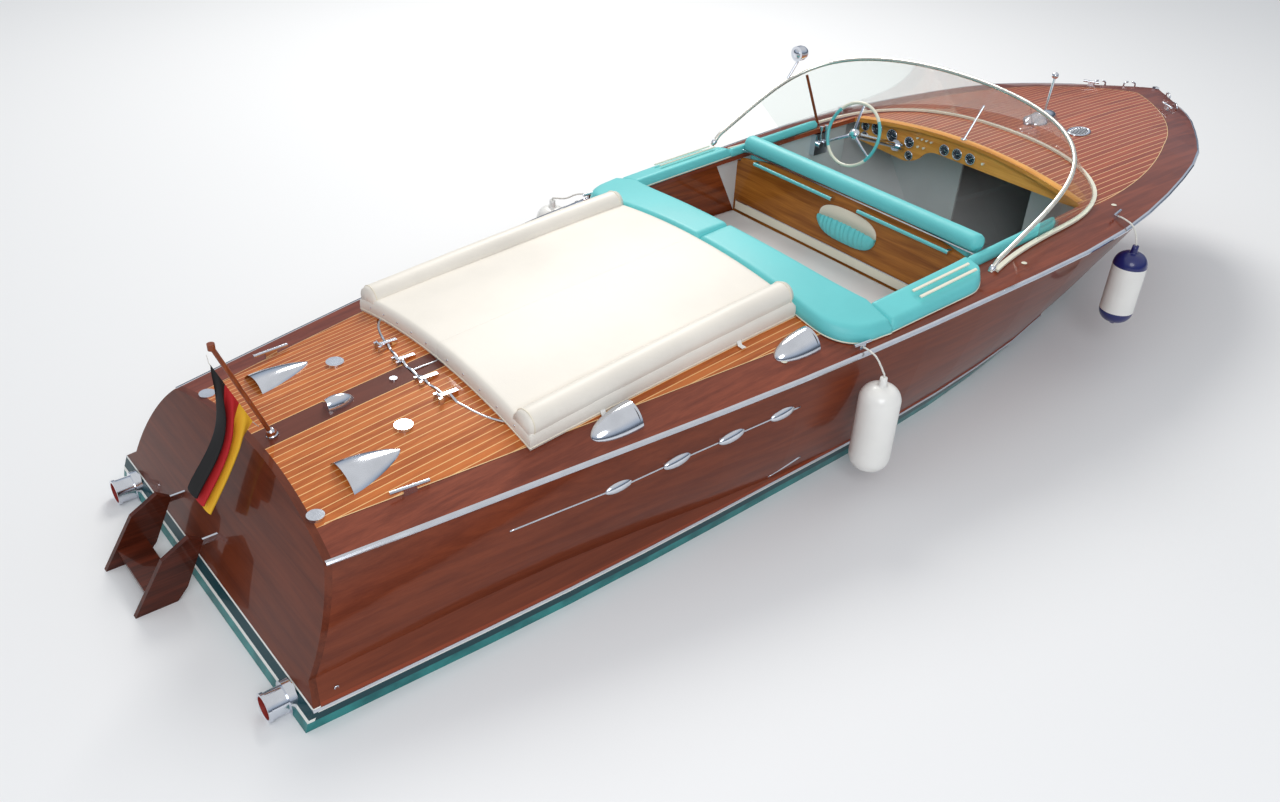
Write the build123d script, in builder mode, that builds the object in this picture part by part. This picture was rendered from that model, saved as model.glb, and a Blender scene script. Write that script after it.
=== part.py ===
from build123d import *
import os
from math import atan2, cos, degrees, pi, radians, sin, sqrt, tan

os.makedirs("parts", exist_ok=True)

# Mahogany runabout. Millimetres, X to the bow, Y to port, Z up.
# The origin is on the centreline at the waterline, 4.0 m ahead of the stripe corner at the transom.

SIDE_WALL = 35.0
BOTTOM_WALL = 40.0
DECK_WALL = 25.0
SEAT_GAP = 0.3

# Hull stations, aft to fore. Each section plane holds the Y axis and runs from a keel point
# to a deck point, so the last ones lean with the raked stem. The ledge is the spray shoulder.
# keel_x, keel_z, deck_x, deck_z, chine_y, chine_z, shoulder_y, shoulder_z, ledge, side_y, side_z, rail_y, rail_z
STATIONS = [
    (-4100, -285, -4100, 655, 1062, -60, 1082, 125, 92, 945, 372, 755, 572),
    (-2700, -320, -2700, 818, 1100, -60, 1118, 127, 100, 1038, 430, 970, 687),
    (-1300, -350, -1300, 938, 1070, -45, 1100, 128, 14, 1152, 440, 1155, 784),
    (100, -365, 100, 1022, 1010, -5, 1052, 130, 3, 1172, 470, 1244, 860),
    (1500, -340, 1500, 1081, 832, 95, 852, 135, 2, 1070, 530, 1252, 928),
    (2450, -190, 2820, 1085, 500, 240, 510, 270, 2, 760, 600, 981, 985),
    (2900, -20, 3450, 1070, 250, 380, 257, 410, 2, 455, 680, 660, 1000),
    (3120, 120, 3800, 1055, 120, 460, 125, 485, 2, 255, 730, 400, 998),
    (3230, 200, 3960, 1045, 52, 485, 55, 506, 2, 128, 742, 210, 995),
    (3280, 240, 4020, 1040, 14, 495, 15, 512, 1, 20, 748, 25, 993),
]
# Ruled bands between two table rows, so that the plan stays round at the bow.
BANDS = [3, 3, 3, 3, 4, 3, 2, 2, 2]
INNER_BANDS = [1, 1, 1, 2, 2, 1]

# Transom seen from the side: upper arc, then the lower arc under the stripes.
TRANSOM_TOP = (-3600.0, 860.0)
TRANSOM_MID = (-3846.0, 420.0)
TRANSOM_KNEE = (-4015.0, 60.0)
TRANSOM_LOW = (-4048.0, -120.0)
TRANSOM_FOOT = (-4052.0, -450.0)
TRANSOM_WALL = 32.0

COCKPIT_AFT_X = -690.0
COCKPIT_HALF_WIDTH = 1010.0
DASH_CENTRE_X = 1493.0
DASH_SIDE_X = 1430.0

HATCH_HALF_WIDTH = 600.0
HATCH_AFT_X = -2860.0
HATCH_CORNER_X = -2715.0
HATCH_FORE_X = -1040.0
LEAF_GAP = 6.0

WIDE = 3000.0
TALL = 3000.0


def station_plane(row):
    run = row[2] - row[0]
    rise = row[3] - row[1]
    size = sqrt(run * run + rise * rise)
    return Plane(origin=(row[0], 0, row[1]), x_dir=(0, 1, 0), z_dir=(rise / size, 0, -run / size))


def station_between(i, t):
    """Smooth row between table rows i and i + 1 (cubic through the four rows around them)."""
    last = len(STATIONS) - 1
    p1 = STATIONS[i]
    p2 = STATIONS[i + 1]
    p0 = STATIONS[i - 1] if i > 0 else [2 * a - b for a, b in zip(p1, p2)]
    p3 = STATIONS[i + 2] if i + 2 <= last else [2 * b - a for a, b in zip(p1, p2)]
    row = []
    for a, b, c, d in zip(p0, p1, p2, p3):
        slope_b = (c - a) / 2
        slope_c = (d - b) / 2
        row.append(
            (2 * t**3 - 3 * t**2 + 1) * b
            + (t**3 - 2 * t**2 + t) * slope_b
            + (3 * t**2 - 2 * t**3) * c
            + (t**3 - t**2) * slope_c
        )
    return tuple(row)


def station_rows(bands):
    rows = [STATIONS[0]]
    for i, count in enumerate(bands):
        for k in range(1, count + 1):
            rows.append(station_between(i, k / count))
    return rows


def hull_body(rows, side_in, bottom_in, deck_in):
    """Ruled loft through the station rows, drawn in by a wall on each side."""
    with BuildPart() as body:
        for row in rows:
            kx, kz, dx, dz, cy, cz, oy, oz, ledge, my, mz, ry, rz = row
            slant = sqrt((dx - kx) ** 2 + (dz - kz) ** 2) / (dz - kz)

            def at(y, z):
                return (y, (z - kz) * slant)

            chine = at(cy - side_in, cz + bottom_in)
            # Inside the shell the spray shoulder is solid wood
            shoulder = at(oy - side_in - (ledge - 2 if side_in else 0), oz + bottom_in)
            foot = at(oy - ledge - side_in, oz + bottom_in + 0.7 * ledge + 2)
            side = at(my - side_in, mz)
            rail = at(ry - side_in, rz - deck_in)
            crown = at(0, dz - deck_in)
            keel = at(0, kz + bottom_in)
            with BuildSketch(station_plane(row)):
                with BuildLine():
                    Polyline(keel, chine, shoulder, foot)
                    ThreePointArc(foot, side, rail)
                    ThreePointArc(rail, crown, (-rail[0], rail[1]))
                    ThreePointArc((-rail[0], rail[1]), (-side[0], side[1]), (-foot[0], foot[1]))
                    Polyline((-foot[0], foot[1]), (-shoulder[0], shoulder[1]), (-chine[0], chine[1]), keel)
                make_face()
        loft(ruled=True)
    return body.part


def side_prism(corners):
    """Solid of a closed side-view outline, right across the boat."""
    with BuildPart() as prism:
        with BuildSketch(Plane.XZ):
            with BuildLine():
                Polyline(*corners, close=True)
            make_face()
        extrude(amount=WIDE, both=True)
    return prism.part


def behind_transom(shift):
    """Everything aft of the transom face, moved forward by shift."""
    def move(p):
        return (p[0] + shift, p[1])

    with BuildPart() as prism:
        with BuildSketch(Plane.XZ):
            with BuildLine():
                ThreePointArc(move(TRANSOM_TOP), move(TRANSOM_MID), move(TRANSOM_KNEE))
                ThreePointArc(move(TRANSOM_KNEE), move(TRANSOM_LOW), move(TRANSOM_FOOT))
                Polyline(move(TRANSOM_FOOT), (-4900, TRANSOM_FOOT[1]), (-4900, TRANSOM_TOP[1]), move(TRANSOM_TOP))
            make_face()
        extrude(amount=WIDE, both=True)
    return prism.part


def below_line(points, drop):
    """Everything under a side-view line given by three-point arcs."""
    low = -900
    pts = [(x, z - drop) for x, z in points]
    with BuildPart() as prism:
        with BuildSketch(Plane.XZ):
            with BuildLine():
                for i in range(0, len(pts) - 2, 2):
                    ThreePointArc(pts[i], pts[i + 1], pts[i + 2])
                Polyline(pts[-1], (pts[-1][0], low), (pts[0][0], low), pts[0])
            make_face()
        extrude(amount=WIDE, both=True)
    return prism.part


SHEER_LINE = [(-4300, 555), (-2700, 687), (-600, 824), (100, 860), (2000, 950), (3000, 988), (4200, 992)]
SEAM_LINE = [(-4300, 100), (-1500, 100), (1300, 104), (2050, 160), (2680, 270), (3100, 390), (3600, 520)]


def plan_prism(build_outline, low=-900.0, high=2400.0):
    with BuildPart() as prism:
        with BuildSketch(Plane.XY.offset(low)):
            with BuildLine():
                build_outline()
            make_face()
        extrude(amount=high - low)
    return prism.part


def both_sides(points):
    """Closed outline from a port half given fore to aft or aft to fore."""
    return points + [(x, -y) for x, y in reversed(points) if abs(y) > 1e-6]


def planked_outline():
    """Inner seam of the covering boards."""
    aft_x = -3800
    ThreePointArc((aft_x, 632), (-2300, 750), (-1000, 822))
    Line((-1000, 822), (1250, 1003))
    ThreePointArc((1250, 1003), (2150, 932), (2850, 715))
    ThreePointArc((2850, 715), (3480, 300), (3690, 0))
    ThreePointArc((3690, 0), (3480, -300), (2850, -715))
    ThreePointArc((2850, -715), (2150, -932), (1250, -1003))
    Line((1250, -1003), (-1000, -822))
    ThreePointArc((-1000, -822), (-2300, -750), (aft_x, -632))
    ThreePointArc((aft_x, -632), (aft_x - 12, 0), (aft_x, 632))


def cockpit_outline():
    aft = COCKPIT_AFT_X
    side = COCKPIT_HALF_WIDTH
    ThreePointArc((aft + 40, side), (aft - 70, 0), (aft + 40, -side))
    Line((aft + 40, -side), (DASH_SIDE_X, -side + 60))
    ThreePointArc((DASH_SIDE_X, -side + 60), (DASH_CENTRE_X, 0), (DASH_SIDE_X, side - 60))
    Line((DASH_SIDE_X, side - 60), (aft + 40, side))


def hatch_outline(grow):
    half = HATCH_HALF_WIDTH + grow
    fore = HATCH_FORE_X + grow
    aft = HATCH_AFT_X - grow
    corner = HATCH_CORNER_X - grow
    ThreePointArc((corner, half), (aft, 0), (corner, -half))
    Line((corner, -half), (fore, -half))
    Line((fore, -half), (fore, half))
    Line((fore, half), (corner, half))


def save(part, name):
    part.label = name
    export_step(part, "parts/" + name + ".step")
    return part


# The hull shell
OUTER = hull_body(station_rows(BANDS), 0, 0, 0) - behind_transom(0)
INNER = hull_body(station_rows(INNER_BANDS), SIDE_WALL, BOTTOM_WALL, DECK_WALL) - behind_transom(TRANSOM_WALL)
SHELL = OUTER - INNER
UNDER_SHEER = below_line(SHEER_LINE, 10)
UNDER_SEAM = below_line(SEAM_LINE, 0)
TRANSOM_SLAB = behind_transom(TRANSOM_WALL)


def halves(part, name, gap=0.0):
    """Port and starboard halves as two pieces."""
    port = part & Pos(0, WIDE / 2 + gap, 0) * Box(12000, WIDE, 3 * TALL)
    starboard = part & Pos(0, -WIDE / 2 - gap, 0) * Box(12000, WIDE, 3 * TALL)
    return save(port, name + "_port"), save(starboard, name + "_starboard")


def deck_slice(first, last, lift, side_in=0.0):
    """Light copy of the deck between two station rows, used to seat pieces on the crown."""
    with BuildPart() as body:
        for row in station_rows(BANDS)[first : last + 1]:
            kx, kz, dx, dz, cy, cz, oy, oz, ledge, my, mz, ry, rz = row
            slant = sqrt((dx - kx) ** 2 + (dz - kz) ** 2) / (dz - kz)
            half = ry - side_in
            edge = (half, (rz - kz + lift) * slant)
            crown = (0, (dz - kz + lift) * slant)
            with BuildSketch(station_plane(row)):
                with BuildLine():
                    ThreePointArc(edge, crown, (-edge[0], edge[1]))
                    Polyline((-edge[0], edge[1]), (-edge[0], edge[1] - 320), (edge[0], edge[1] - 320), edge)
                make_face()
        loft(ruled=True)
    return body.part


def deck_point(x, y):
    """Height of the deck, from the same smooth rows as the loft."""
    rows = station_rows(BANDS)
    for a, b in zip(rows, rows[1:]):
        if a[2] <= x <= b[2]:
            t = (x - a[2]) / (b[2] - a[2])
            half = a[11] + t * (b[11] - a[11])
            rail = a[12] + t * (b[12] - a[12])
            crown = a[3] + t * (b[3] - a[3])
            rise = max(crown - rail, 1.0)
            radius = (half * half + rise * rise) / (2 * rise)
            return crown - radius + sqrt(radius * radius - min(abs(y), half) ** 2)
    return rows[-1][3]


def box_between(x0, x1, y0, y1, z0, z1):
    return Pos((x0 + x1) / 2, (y0 + y1) / 2, (z0 + z1) / 2) * Box(x1 - x0, y1 - y0, z1 - z0)


def prism_of(points, low, high):
    """Upright prism of a plan outline given by points."""
    with BuildPart() as prism:
        with BuildSketch(Plane.XY.offset(low)):
            with BuildLine():
                Polyline(*points, close=True)
            make_face()
        extrude(amount=high - low)
    return prism.part


def bend_radii(points):
    """Largest bend at each corner that leaves both runs some straight length."""
    radii = []
    for a, b, c in zip(points, points[1:], points[2:]):
        turn = radians((b - a).get_angle(c - b))
        radii.append(min(4000, 0.45 * min((b - a).length, (c - b).length) / tan(max(turn, 0.002) / 2)))
    return radii


def rod(points, radius, sides=0):
    """Round bar, or one of the given number of flats, along straight runs joined by tangent bends."""
    points = [Vector(*p) for p in points]
    with BuildPart() as bar:
        with BuildLine() as line:
            if len(points) == 2:
                Line(*points)
            else:
                FilletPolyline(*points, radius=bend_radii(points))
        with BuildSketch(Plane(origin=line.line @ 0, z_dir=line.line % 0)):
            if sides:
                RegularPolygon(radius, sides)
            else:
                Circle(radius)
        sweep()
    return bar.part


# Hull panels
save((SHELL & UNDER_SEAM) - TRANSOM_SLAB, "hull_bottom")
halves((SHELL & UNDER_SHEER) - UNDER_SEAM - TRANSOM_SLAB, "topside")
save(SHELL & TRANSOM_SLAB, "transom")

# Decks
DECK = SHELL - UNDER_SHEER - TRANSOM_SLAB
PLANKED = plan_prism(planked_outline)
COCKPIT = plan_prism(cockpit_outline)
planked = (DECK & PLANKED) - COCKPIT
halves(DECK - PLANKED - COCKPIT, "covering_board")
aft_deck = planked & box_between(-4500, -500, -WIDE, WIDE, -TALL, TALL)
save(planked & box_between(500, 4500, -WIDE, WIDE, -TALL, TALL), "foredeck")
save(aft_deck - plan_prism(lambda: hatch_outline(LEAF_GAP)), "aft_deck")
leaf = aft_deck & plan_prism(lambda: hatch_outline(0))

# Engine hatch leaves, each with its hinge leaves and half of the sun pad
HINGE_X = HATCH_AFT_X - 14
HINGE_Z = 816.0
PIN_RADIUS = 3.0
KNUCKLE_RADIUS = 6.5
# y of the middle of each hinge on the port leaf
HINGE_Y = [110.0, 290.0]
PAD_AFT_X = -2712.0
PAD_FORE_X = -1010.0
PAD_HALF = 805.0
PAD_HEIGHT = 92.0
BOLSTER_HEIGHT = 150.0
BOLSTER_WIDTH = 150.0


def cylinder_y(x, z, y0, y1, radius):
    return Pos(x, (y0 + y1) / 2, z) * Rot(90, 0, 0) * Cylinder(radius, abs(y1 - y0))


def hatch_half(side):
    half = leaf & Pos(0, side * (WIDE / 2 + LEAF_GAP / 2), 0) * Box(12000, WIDE, 3 * TALL)
    for y in HINGE_Y:
        mid = side * y
        plate = box_between(HINGE_X, HINGE_X + 96, mid - 12, mid + 12, HINGE_Z - 2.5, HINGE_Z + 2.5)
        foot = box_between(HINGE_X + 64, HINGE_X + 96, mid - 12, mid + 12, HINGE_Z - 60, HINGE_Z)
        knuckle = cylinder_y(HINGE_X, HINGE_Z, mid - 12, mid + 12, KNUCKLE_RADIUS)
        half = half + (plate + foot - AFT_TOP_LOW) + knuckle - cylinder_y(HINGE_X, HINGE_Z, mid - 15, mid + 15, PIN_RADIUS + 0.06)
    return half


AFT_TOP = deck_slice(0, 9, 0)
AFT_TOP_LOW = deck_slice(0, 9, -2)
hinges = None
for side in (1, -1):
    for y in HINGE_Y:
        for step in (-1, 1):
            mid = side * y + step * 25
            cheek = cylinder_y(HINGE_X, HINGE_Z, mid - 7, mid + 7, KNUCKLE_RADIUS)
            post = box_between(HINGE_X - 18, HINGE_X + 4, mid - 7, mid + 7, HINGE_Z - 80, HINGE_Z + 3)
            hinges = cheek + post if hinges is None else hinges + cheek + post
        hinges = hinges + cylinder_y(HINGE_X, HINGE_Z, side * y - 31, side * y + 31, PIN_RADIUS)
hinges = hinges - AFT_TOP
save(hinges, "hatch_hinges")
for side, word in ((1, "port"), (-1, "starboard")):
    save(hatch_half(side), "hatch_" + word)


def pad_half(side):
    near = LEAF_GAP / 2 + 1
    edges = [(PAD_AFT_X, side * near), (PAD_AFT_X, side * PAD_HALF), (PAD_FORE_X, side * (PAD_HALF - 20)), (PAD_FORE_X, side * near)]
    block = (prism_of(edges, 300, 1500) & deck_slice(3, 10, PAD_HEIGHT)) - deck_slice(3, 10, 9)
    low = [(PAD_AFT_X + 12, side * (near + 5)), (PAD_AFT_X + 12, side * 560), (HATCH_FORE_X - 20, side * 560), (HATCH_FORE_X - 20, side * (near + 5))]
    block = block + ((prism_of(low, 300, 1500) & deck_slice(3, 10, 12)) - deck_slice(3, 10, SEAT_GAP))
    a = Vector(PAD_AFT_X + 8, side * (PAD_HALF - BOLSTER_WIDTH / 2), deck_point(PAD_AFT_X, 730) + 78)
    b = Vector(PAD_FORE_X - 8, side * (PAD_HALF - 22 - BOLSTER_WIDTH / 2), deck_point(PAD_FORE_X, 710) + 92)
    with BuildPart() as bolster:
        with BuildSketch(Plane(origin=a, x_dir=(0, 1, 0), z_dir=b - a)):
            Ellipse(BOLSTER_WIDTH / 2 - 3, 66)
        extrude(amount=(b - a).length)
    return block + (bolster.part - deck_slice(3, 10, 20))


for side, word in ((1, "port"), (-1, "starboard")):
    save(pad_half(side), "sun_pad_" + word)

# Rub rails, spray strips and stem band
RAIL_ROWS = station_rows(BANDS)


def rail_strip(first, last, shape, pick_y, pick_z):
    """Ruled strip along the hull, one closed shape a row, on both sides."""
    sides = []
    for side in (1, -1):
        with BuildPart() as strip:
            for row in RAIL_ROWS[first : last + 1]:
                slant = sqrt((row[2] - row[0]) ** 2 + (row[3] - row[1]) ** 2) / (row[3] - row[1])
                cy = row[pick_y]
                cz = (row[pick_z] - row[1]) * slant
                with BuildSketch(station_plane(row)):
                    with BuildLine():
                        Polyline(*[(side * (cy + dy), cz + dz) for dy, dz in shape], close=True)
                    make_face()
            loft(ruled=True)
        sides.append(strip.part)
    return sides


RAIL_SHAPE = [(-12, -26), (6, -24), (15, -16), (16, -7), (9, 1), (-3, 4), (-14, -8)]
port_rail, starboard_rail = rail_strip(0, len(RAIL_ROWS) - 1, RAIL_SHAPE, 11, 12)
forward_of_stern = box_between(-3745, 4100, -WIDE, WIDE, -TALL, TALL)
save((port_rail + starboard_rail - OUTER) & forward_of_stern, "rub_rails")

STRIP_SHAPE = [(-8, -2), (3, -3), (5, -16), (-8, -20)]
port_strip, starboard_strip = rail_strip(0, 14, STRIP_SHAPE, 6, 7)
save((port_strip + starboard_strip - OUTER) & box_between(-3990, 1500, -WIDE, WIDE, -TALL, TALL), "boot_strips")

with BuildPart() as stem_band:
    with BuildSketch(Plane.XZ):
        with BuildLine():
            Polyline((3255, 200), (3283, 226), (4032, 1038), (4020, 1052), (3960, 1062), (3950, 1000), (3200, 190), close=True)
        make_face()
    extrude(amount=13, both=True)
save(stem_band.part - OUTER, "stem_band")

with BuildPart() as keel:
    with BuildSketch(Plane.XZ):
        with BuildLine():
            Polyline((-2350, -300), (-2050, -385), (200, -420), (1700, -380), (2650, -160), (2500, -60), (-2350, -200), close=True)
        make_face()
    extrude(amount=22, both=True)
save(keel.part - OUTER, "keel")

# Running gear under the stern
SHAFT_Y = 360.0
SHAFT_RADIUS = 16.0
PROP_X = -3560.0
PROP_Z = -520.0
PROP_RADIUS = 185.0
SHAFT_RISE = 9.0
BEARING_GAP = 0.06
RUDDER_X = -3880.0
RUDDER_STOCK = 15.0
shaft_dir = Vector(cos(radians(SHAFT_RISE)), 0, sin(radians(SHAFT_RISE)))


def along_shaft(side, start, size, radius):
    base = Vector(PROP_X, side * SHAFT_Y, PROP_Z) + shaft_dir * start
    with BuildPart() as bar:
        with BuildSketch(Plane(origin=base, x_dir=(0, 1, 0), z_dir=shaft_dir)):
            Circle(radius)
        extrude(amount=size)
    return bar.part


def propeller(side):
    hub = along_shaft(side, -60, 120, 34) + along_shaft(side, -110, 52, 20) + along_shaft(side, 60, 1240, SHAFT_RADIUS)
    centre = Vector(PROP_X, side * SHAFT_Y, PROP_Z)
    plane = Plane(origin=centre, x_dir=(0, 1, 0), z_dir=shaft_dir)
    for k in range(3):
        with BuildPart() as blade:
            with BuildSketch(Plane.XY.offset(0)):
                with Locations((PROP_RADIUS * 0.58, 0)):
                    Ellipse(PROP_RADIUS * 0.42, 62)
            extrude(amount=4, both=True)
        turned = Rot(0, 0, 120 * k) * Rot(side * 28, 0, 0) * blade.part
        hub = hub + plane.location * turned
    return hub


for side, word in ((1, "port"), (-1, "starboard")):
    save(propeller(side), "propeller_" + word)

gear = None
for side in (1, -1):
    barrel = along_shaft(side, 85, 110, 27)
    arm = box_between(PROP_X + 95, PROP_X + 165, side * SHAFT_Y - 7, side * SHAFT_Y + 7, PROP_Z + 30, -200)
    tube = along_shaft(side, 900, 520, 30)
    port = Pos(RUDDER_X, side * SHAFT_Y, -250) * Cylinder(32, 150)
    one = (barrel + arm + tube + port) - OUTER
    one = one - along_shaft(side, 60, 1260, SHAFT_RADIUS + BEARING_GAP)
    one = one - Pos(RUDDER_X, side * SHAFT_Y, -300) * Cylinder(RUDDER_STOCK + BEARING_GAP, 110)
    gear = one if gear is None else gear + one
save(gear, "shaft_gear")

for side, word in ((1, "port"), (-1, "starboard")):
    with BuildPart() as blade:
        with BuildSketch(Plane.XZ.offset(-side * SHAFT_Y)):
            with BuildLine():
                Polyline((RUDDER_X + 95, -345), (RUDDER_X + 75, -700), (RUDDER_X - 120, -700), (RUDDER_X - 165, -345), close=True)
            make_face()
        extrude(amount=9, both=True)
    stock = Pos(RUDDER_X, side * SHAFT_Y, -320) * Cylinder(RUDDER_STOCK, 130)
    save(blade.part + stock, "rudder_" + word)

# Exhausts through the transom
EXHAUST_Y = 895.0
EXHAUST_Z = 58.0
exhausts = None
for side in (1, -1):
    pipe = Pos(-4050, side * EXHAUST_Y, EXHAUST_Z) * Rot(0, 90, 0) * (Cylinder(62, 150) - Cylinder(54, 150))
    lip = Pos(-4118, side * EXHAUST_Y, EXHAUST_Z) * Rot(0, 90, 0) * (Cylinder(67, 16) - Cylinder(54, 16))
    flange = Pos(-4016, side * EXHAUST_Y, EXHAUST_Z) * Rot(0, 90, 0) * Cylinder(78, 36)
    plug = Pos(-4030, side * EXHAUST_Y, EXHAUST_Z) * Rot(0, 90, 0) * Cylinder(54, 50)
    one = pipe + lip + flange + plug - OUTER
    exhausts = one if exhausts is None else exhausts + one
save(exhausts, "exhausts")

# Inside: bulkheads, floor, liners, benches
FLOOR_Z = 60.0
BULKHEAD_X = -800.0
CUDDY_X = 1950.0
bulkheads = box_between(BULKHEAD_X - 22, BULKHEAD_X, -WIDE, WIDE, -TALL, TALL) & INNER
cuddy = box_between(CUDDY_X, CUDDY_X + 20, -WIDE, WIDE, -TALL, TALL) & INNER
cuddy = cuddy - box_between(CUDDY_X - 50, CUDDY_X + 50, -300, 300, 120, 900)
save(bulkheads + cuddy, "bulkheads")
save(box_between(BULKHEAD_X, CUDDY_X, -WIDE, WIDE, FLOOR_Z - 20, FLOOR_Z) & INNER, "cockpit_floor")

LINER_Y = 1012.0
liner_space = (box_between(BULKHEAD_X, 1420, -LINER_Y - 10, LINER_Y + 10, FLOOR_Z, TALL) & INNER) - box_between(BULKHEAD_X, 1420, -LINER_Y, LINER_Y, -TALL, TALL)
save(liner_space, "cockpit_liners")

BENCH_Y = 985.0
BACK_X = 300.0
REAR_SEAT = (-775.0, BACK_X)
FRONT_SEAT = (BACK_X + 30, 840.0)
LOUNGE_Z = 530.0
LOUNGE_Y = 1004.0
rear_base = box_between(REAR_SEAT[0], BACK_X - 1, -LOUNGE_Y, LOUNGE_Y, FLOOR_Z, LOUNGE_Z - 70)
rear_base = rear_base - box_between(REAR_SEAT[0] + 40, BACK_X - 40, -BENCH_Y + 50, BENCH_Y - 50, FLOOR_Z, LOUNGE_Z - 95)
rear_cushion = box_between(REAR_SEAT[0], BACK_X - 12, -LOUNGE_Y, LOUNGE_Y, LOUNGE_Z - 69.7, LOUNGE_Z)
rear_cushion = rear_cushion + box_between(REAR_SEAT[0], REAR_SEAT[0] + 130, -BENCH_Y + 10, BENCH_Y - 10, LOUNGE_Z, 840)
save(rear_cushion & INNER, "rear_bench_cushion")
front_base = box_between(BACK_X + 23, FRONT_SEAT[1] - 40, -BENCH_Y + 60, BENCH_Y - 60, FLOOR_Z, 330)
save((rear_base & INNER) + (front_base & INNER), "bench_bases")
front_cushion = box_between(BACK_X + 24, FRONT_SEAT[1], -BENCH_Y + 70, BENCH_Y - 70, 330.3, 430)
front_cushion = front_cushion + box_between(BACK_X + 24, BACK_X + 110, -BENCH_Y + 70, BENCH_Y - 70, 430, 950)
save(front_cushion, "front_bench_cushion")
BACK_TOP = 975.0
back_panel = box_between(BACK_X, BACK_X + 22, -BENCH_Y + 5, BENCH_Y - 5, FLOOR_Z, BACK_TOP)
back_panel = back_panel + box_between(BACK_X, BACK_X + 22, 0.3 - LINER_Y, LINER_Y - 0.3, FLOOR_Z, 880)
save(back_panel & INNER, "bench_back")
ROLL_RADIUS = 60.0
ROLL_X = BACK_X + 52
ROLL_Z = 1008.0
roll = cylinder_y(ROLL_X, ROLL_Z, -BENCH_Y + 8, BENCH_Y - 8, ROLL_RADIUS)
roll = roll - box_between(BACK_X - 30, BACK_X + 22.3, -WIDE, WIDE, 0, BACK_TOP + 0.3) - box_between(0, 600, -WIDE, WIDE, 0, 950.3)
save(roll, "backrest_roll")

# Engines on their beds
ENGINE_X = (-2350.0, -1450.0)
ENGINE_Y = 330.0
beds = None
for side in (1, -1):
    for y in (ENGINE_Y - 150, ENGINE_Y + 150):
        bed = box_between(ENGINE_X[0] - 150, ENGINE_X[1] + 200, side * y - 25, side * y + 25, -400, -150) & INNER
        beds = bed if beds is None else beds + bed
save(beds, "engine_beds")
engines = None
for side in (1, -1):
    block = box_between(ENGINE_X[0], ENGINE_X[1], side * ENGINE_Y - 200, side * ENGINE_Y + 200, -149.7, 400)
    engines = block if engines is None else engines + block
save(engines, "engines")

# Dashboard, instruments, steering
DASH_X = 1512.0
# y of the two ends and the middle of the lobe's lower edge
LOBE_Y = (245.0, 380.0, 520.0)
with BuildPart() as dash:
    with BuildSketch(Plane(origin=(DASH_X, 0, 0), x_dir=(0, 1, 0), z_dir=(1, 0, 0))):
        with BuildLine():
            Line((960, 806), (960, 1200))
            Line((960, 1200), (-960, 1200))
            Line((-960, 1200), (-960, 925))
            Line((-960, 925), (LOBE_Y[0], 925))
            ThreePointArc((LOBE_Y[0], 925), (LOBE_Y[0] + 80, 902), (LOBE_Y[1], 848))
            ThreePointArc((LOBE_Y[1], 848), (LOBE_Y[1] + 80, 800), (LOBE_Y[2], 786))
            Line((LOBE_Y[2], 786), (960, 806))
        make_face()
    extrude(amount=18)
save(dash.part & INNER, "dashboard")

# y, z, radius of each gauge, read from the photograph
GAUGES = [
    (900, 930, 34), (790, 943, 45), (893, 855, 32), (645, 935, 43), (485, 935, 37), (470, 840, 32),
    (180, 975, 36), (70, 980, 36), (-40, 982, 36),
]
KNOBS = [(-150, 985, 9), (415, 990, 7), (375, 992, 7), (335, 994, 7), (295, 995, 7), (400, 930, 8), (350, 935, 8)]
instruments = None
for y, z, radius in GAUGES:
    dial = Pos(DASH_X - 5, y, z) * Rot(0, 90, 0) * Cylinder(radius, 9.4)
    instruments = dial if instruments is None else instruments + dial
for y, z, radius in KNOBS:
    instruments = instruments + Pos(DASH_X - 12, y, z) * Rot(0, 90, 0) * Cylinder(radius, 23.4)
save(instruments, "dash_instruments")

WHEEL_CENTRE = Vector(950, 560, 1080)
WHEEL_TILT = 20.0
WHEEL_RADIUS = 215.0
column_dir = Vector(cos(radians(WHEEL_TILT)), 0, -sin(radians(WHEEL_TILT)))


def along_column(start, size, radius):
    with BuildPart() as bar:
        with BuildSketch(Plane(origin=WHEEL_CENTRE + column_dir * start, x_dir=(0, 1, 0), z_dir=column_dir)):
            Circle(radius)
        extrude(amount=size)
    return bar.part


column_length = (DASH_X - WHEEL_CENTRE.X) / column_dir.X
column = along_column(45, column_length - 20, 21) + along_column(column_length - 70, 95, 40)
column = column - box_between(DASH_X - 0.3, 2500, -WIDE, WIDE, -TALL, TALL) - along_column(0, 260, 11 + BEARING_GAP)
save(column, "steering_column")
wheel_plane = Plane(origin=WHEEL_CENTRE, x_dir=(0, 1, 0), z_dir=column_dir)
with BuildPart() as rim_ring:
    with BuildSketch(Plane.XZ):
        with Locations((WHEEL_RADIUS, 0)):
            RegularPolygon(11.5, 8)
    revolve(axis=Axis.Z)
wheel = wheel_plane.location * rim_ring.part
wheel = wheel + along_column(-16, 52, 40) + along_column(20, 200, 11)
for angle in (0, 120, 240):
    a = radians(angle + 90)
    spoke = Pos(cos(a) * 122, sin(a) * 122, 2) * Rot(0, 0, degrees(a)) * Box(180, 26, 5)
    wheel = wheel + wheel_plane.location * spoke
save(wheel, "steering_wheel")

throttles = box_between(1040, 1180, LINER_Y - 46, LINER_Y - 0.3, 770, 930)
for x in (1085, 1135):
    lever = rod([(x, LINER_Y - 60, 850), (x - 30, LINER_Y - 75, 975)], 6)
    throttles = throttles + Pos(x, LINER_Y - 52, 850) * Rot(90, 0, 0) * Cylinder(24, 30) + lever
    throttles = throttles + Pos(x - 30, LINER_Y - 75, 985) * Cylinder(14, 26)
save(throttles, "throttles")

# Coaming pads round the cockpit
PAD_THICK = 88.0
COAM_AFT_X = -996.0
COAM_INNER = COCKPIT_HALF_WIDTH - 28
COAM_OUTER = 1150.0
SIDE_PAD = (-640.0, 200.0)


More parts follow.
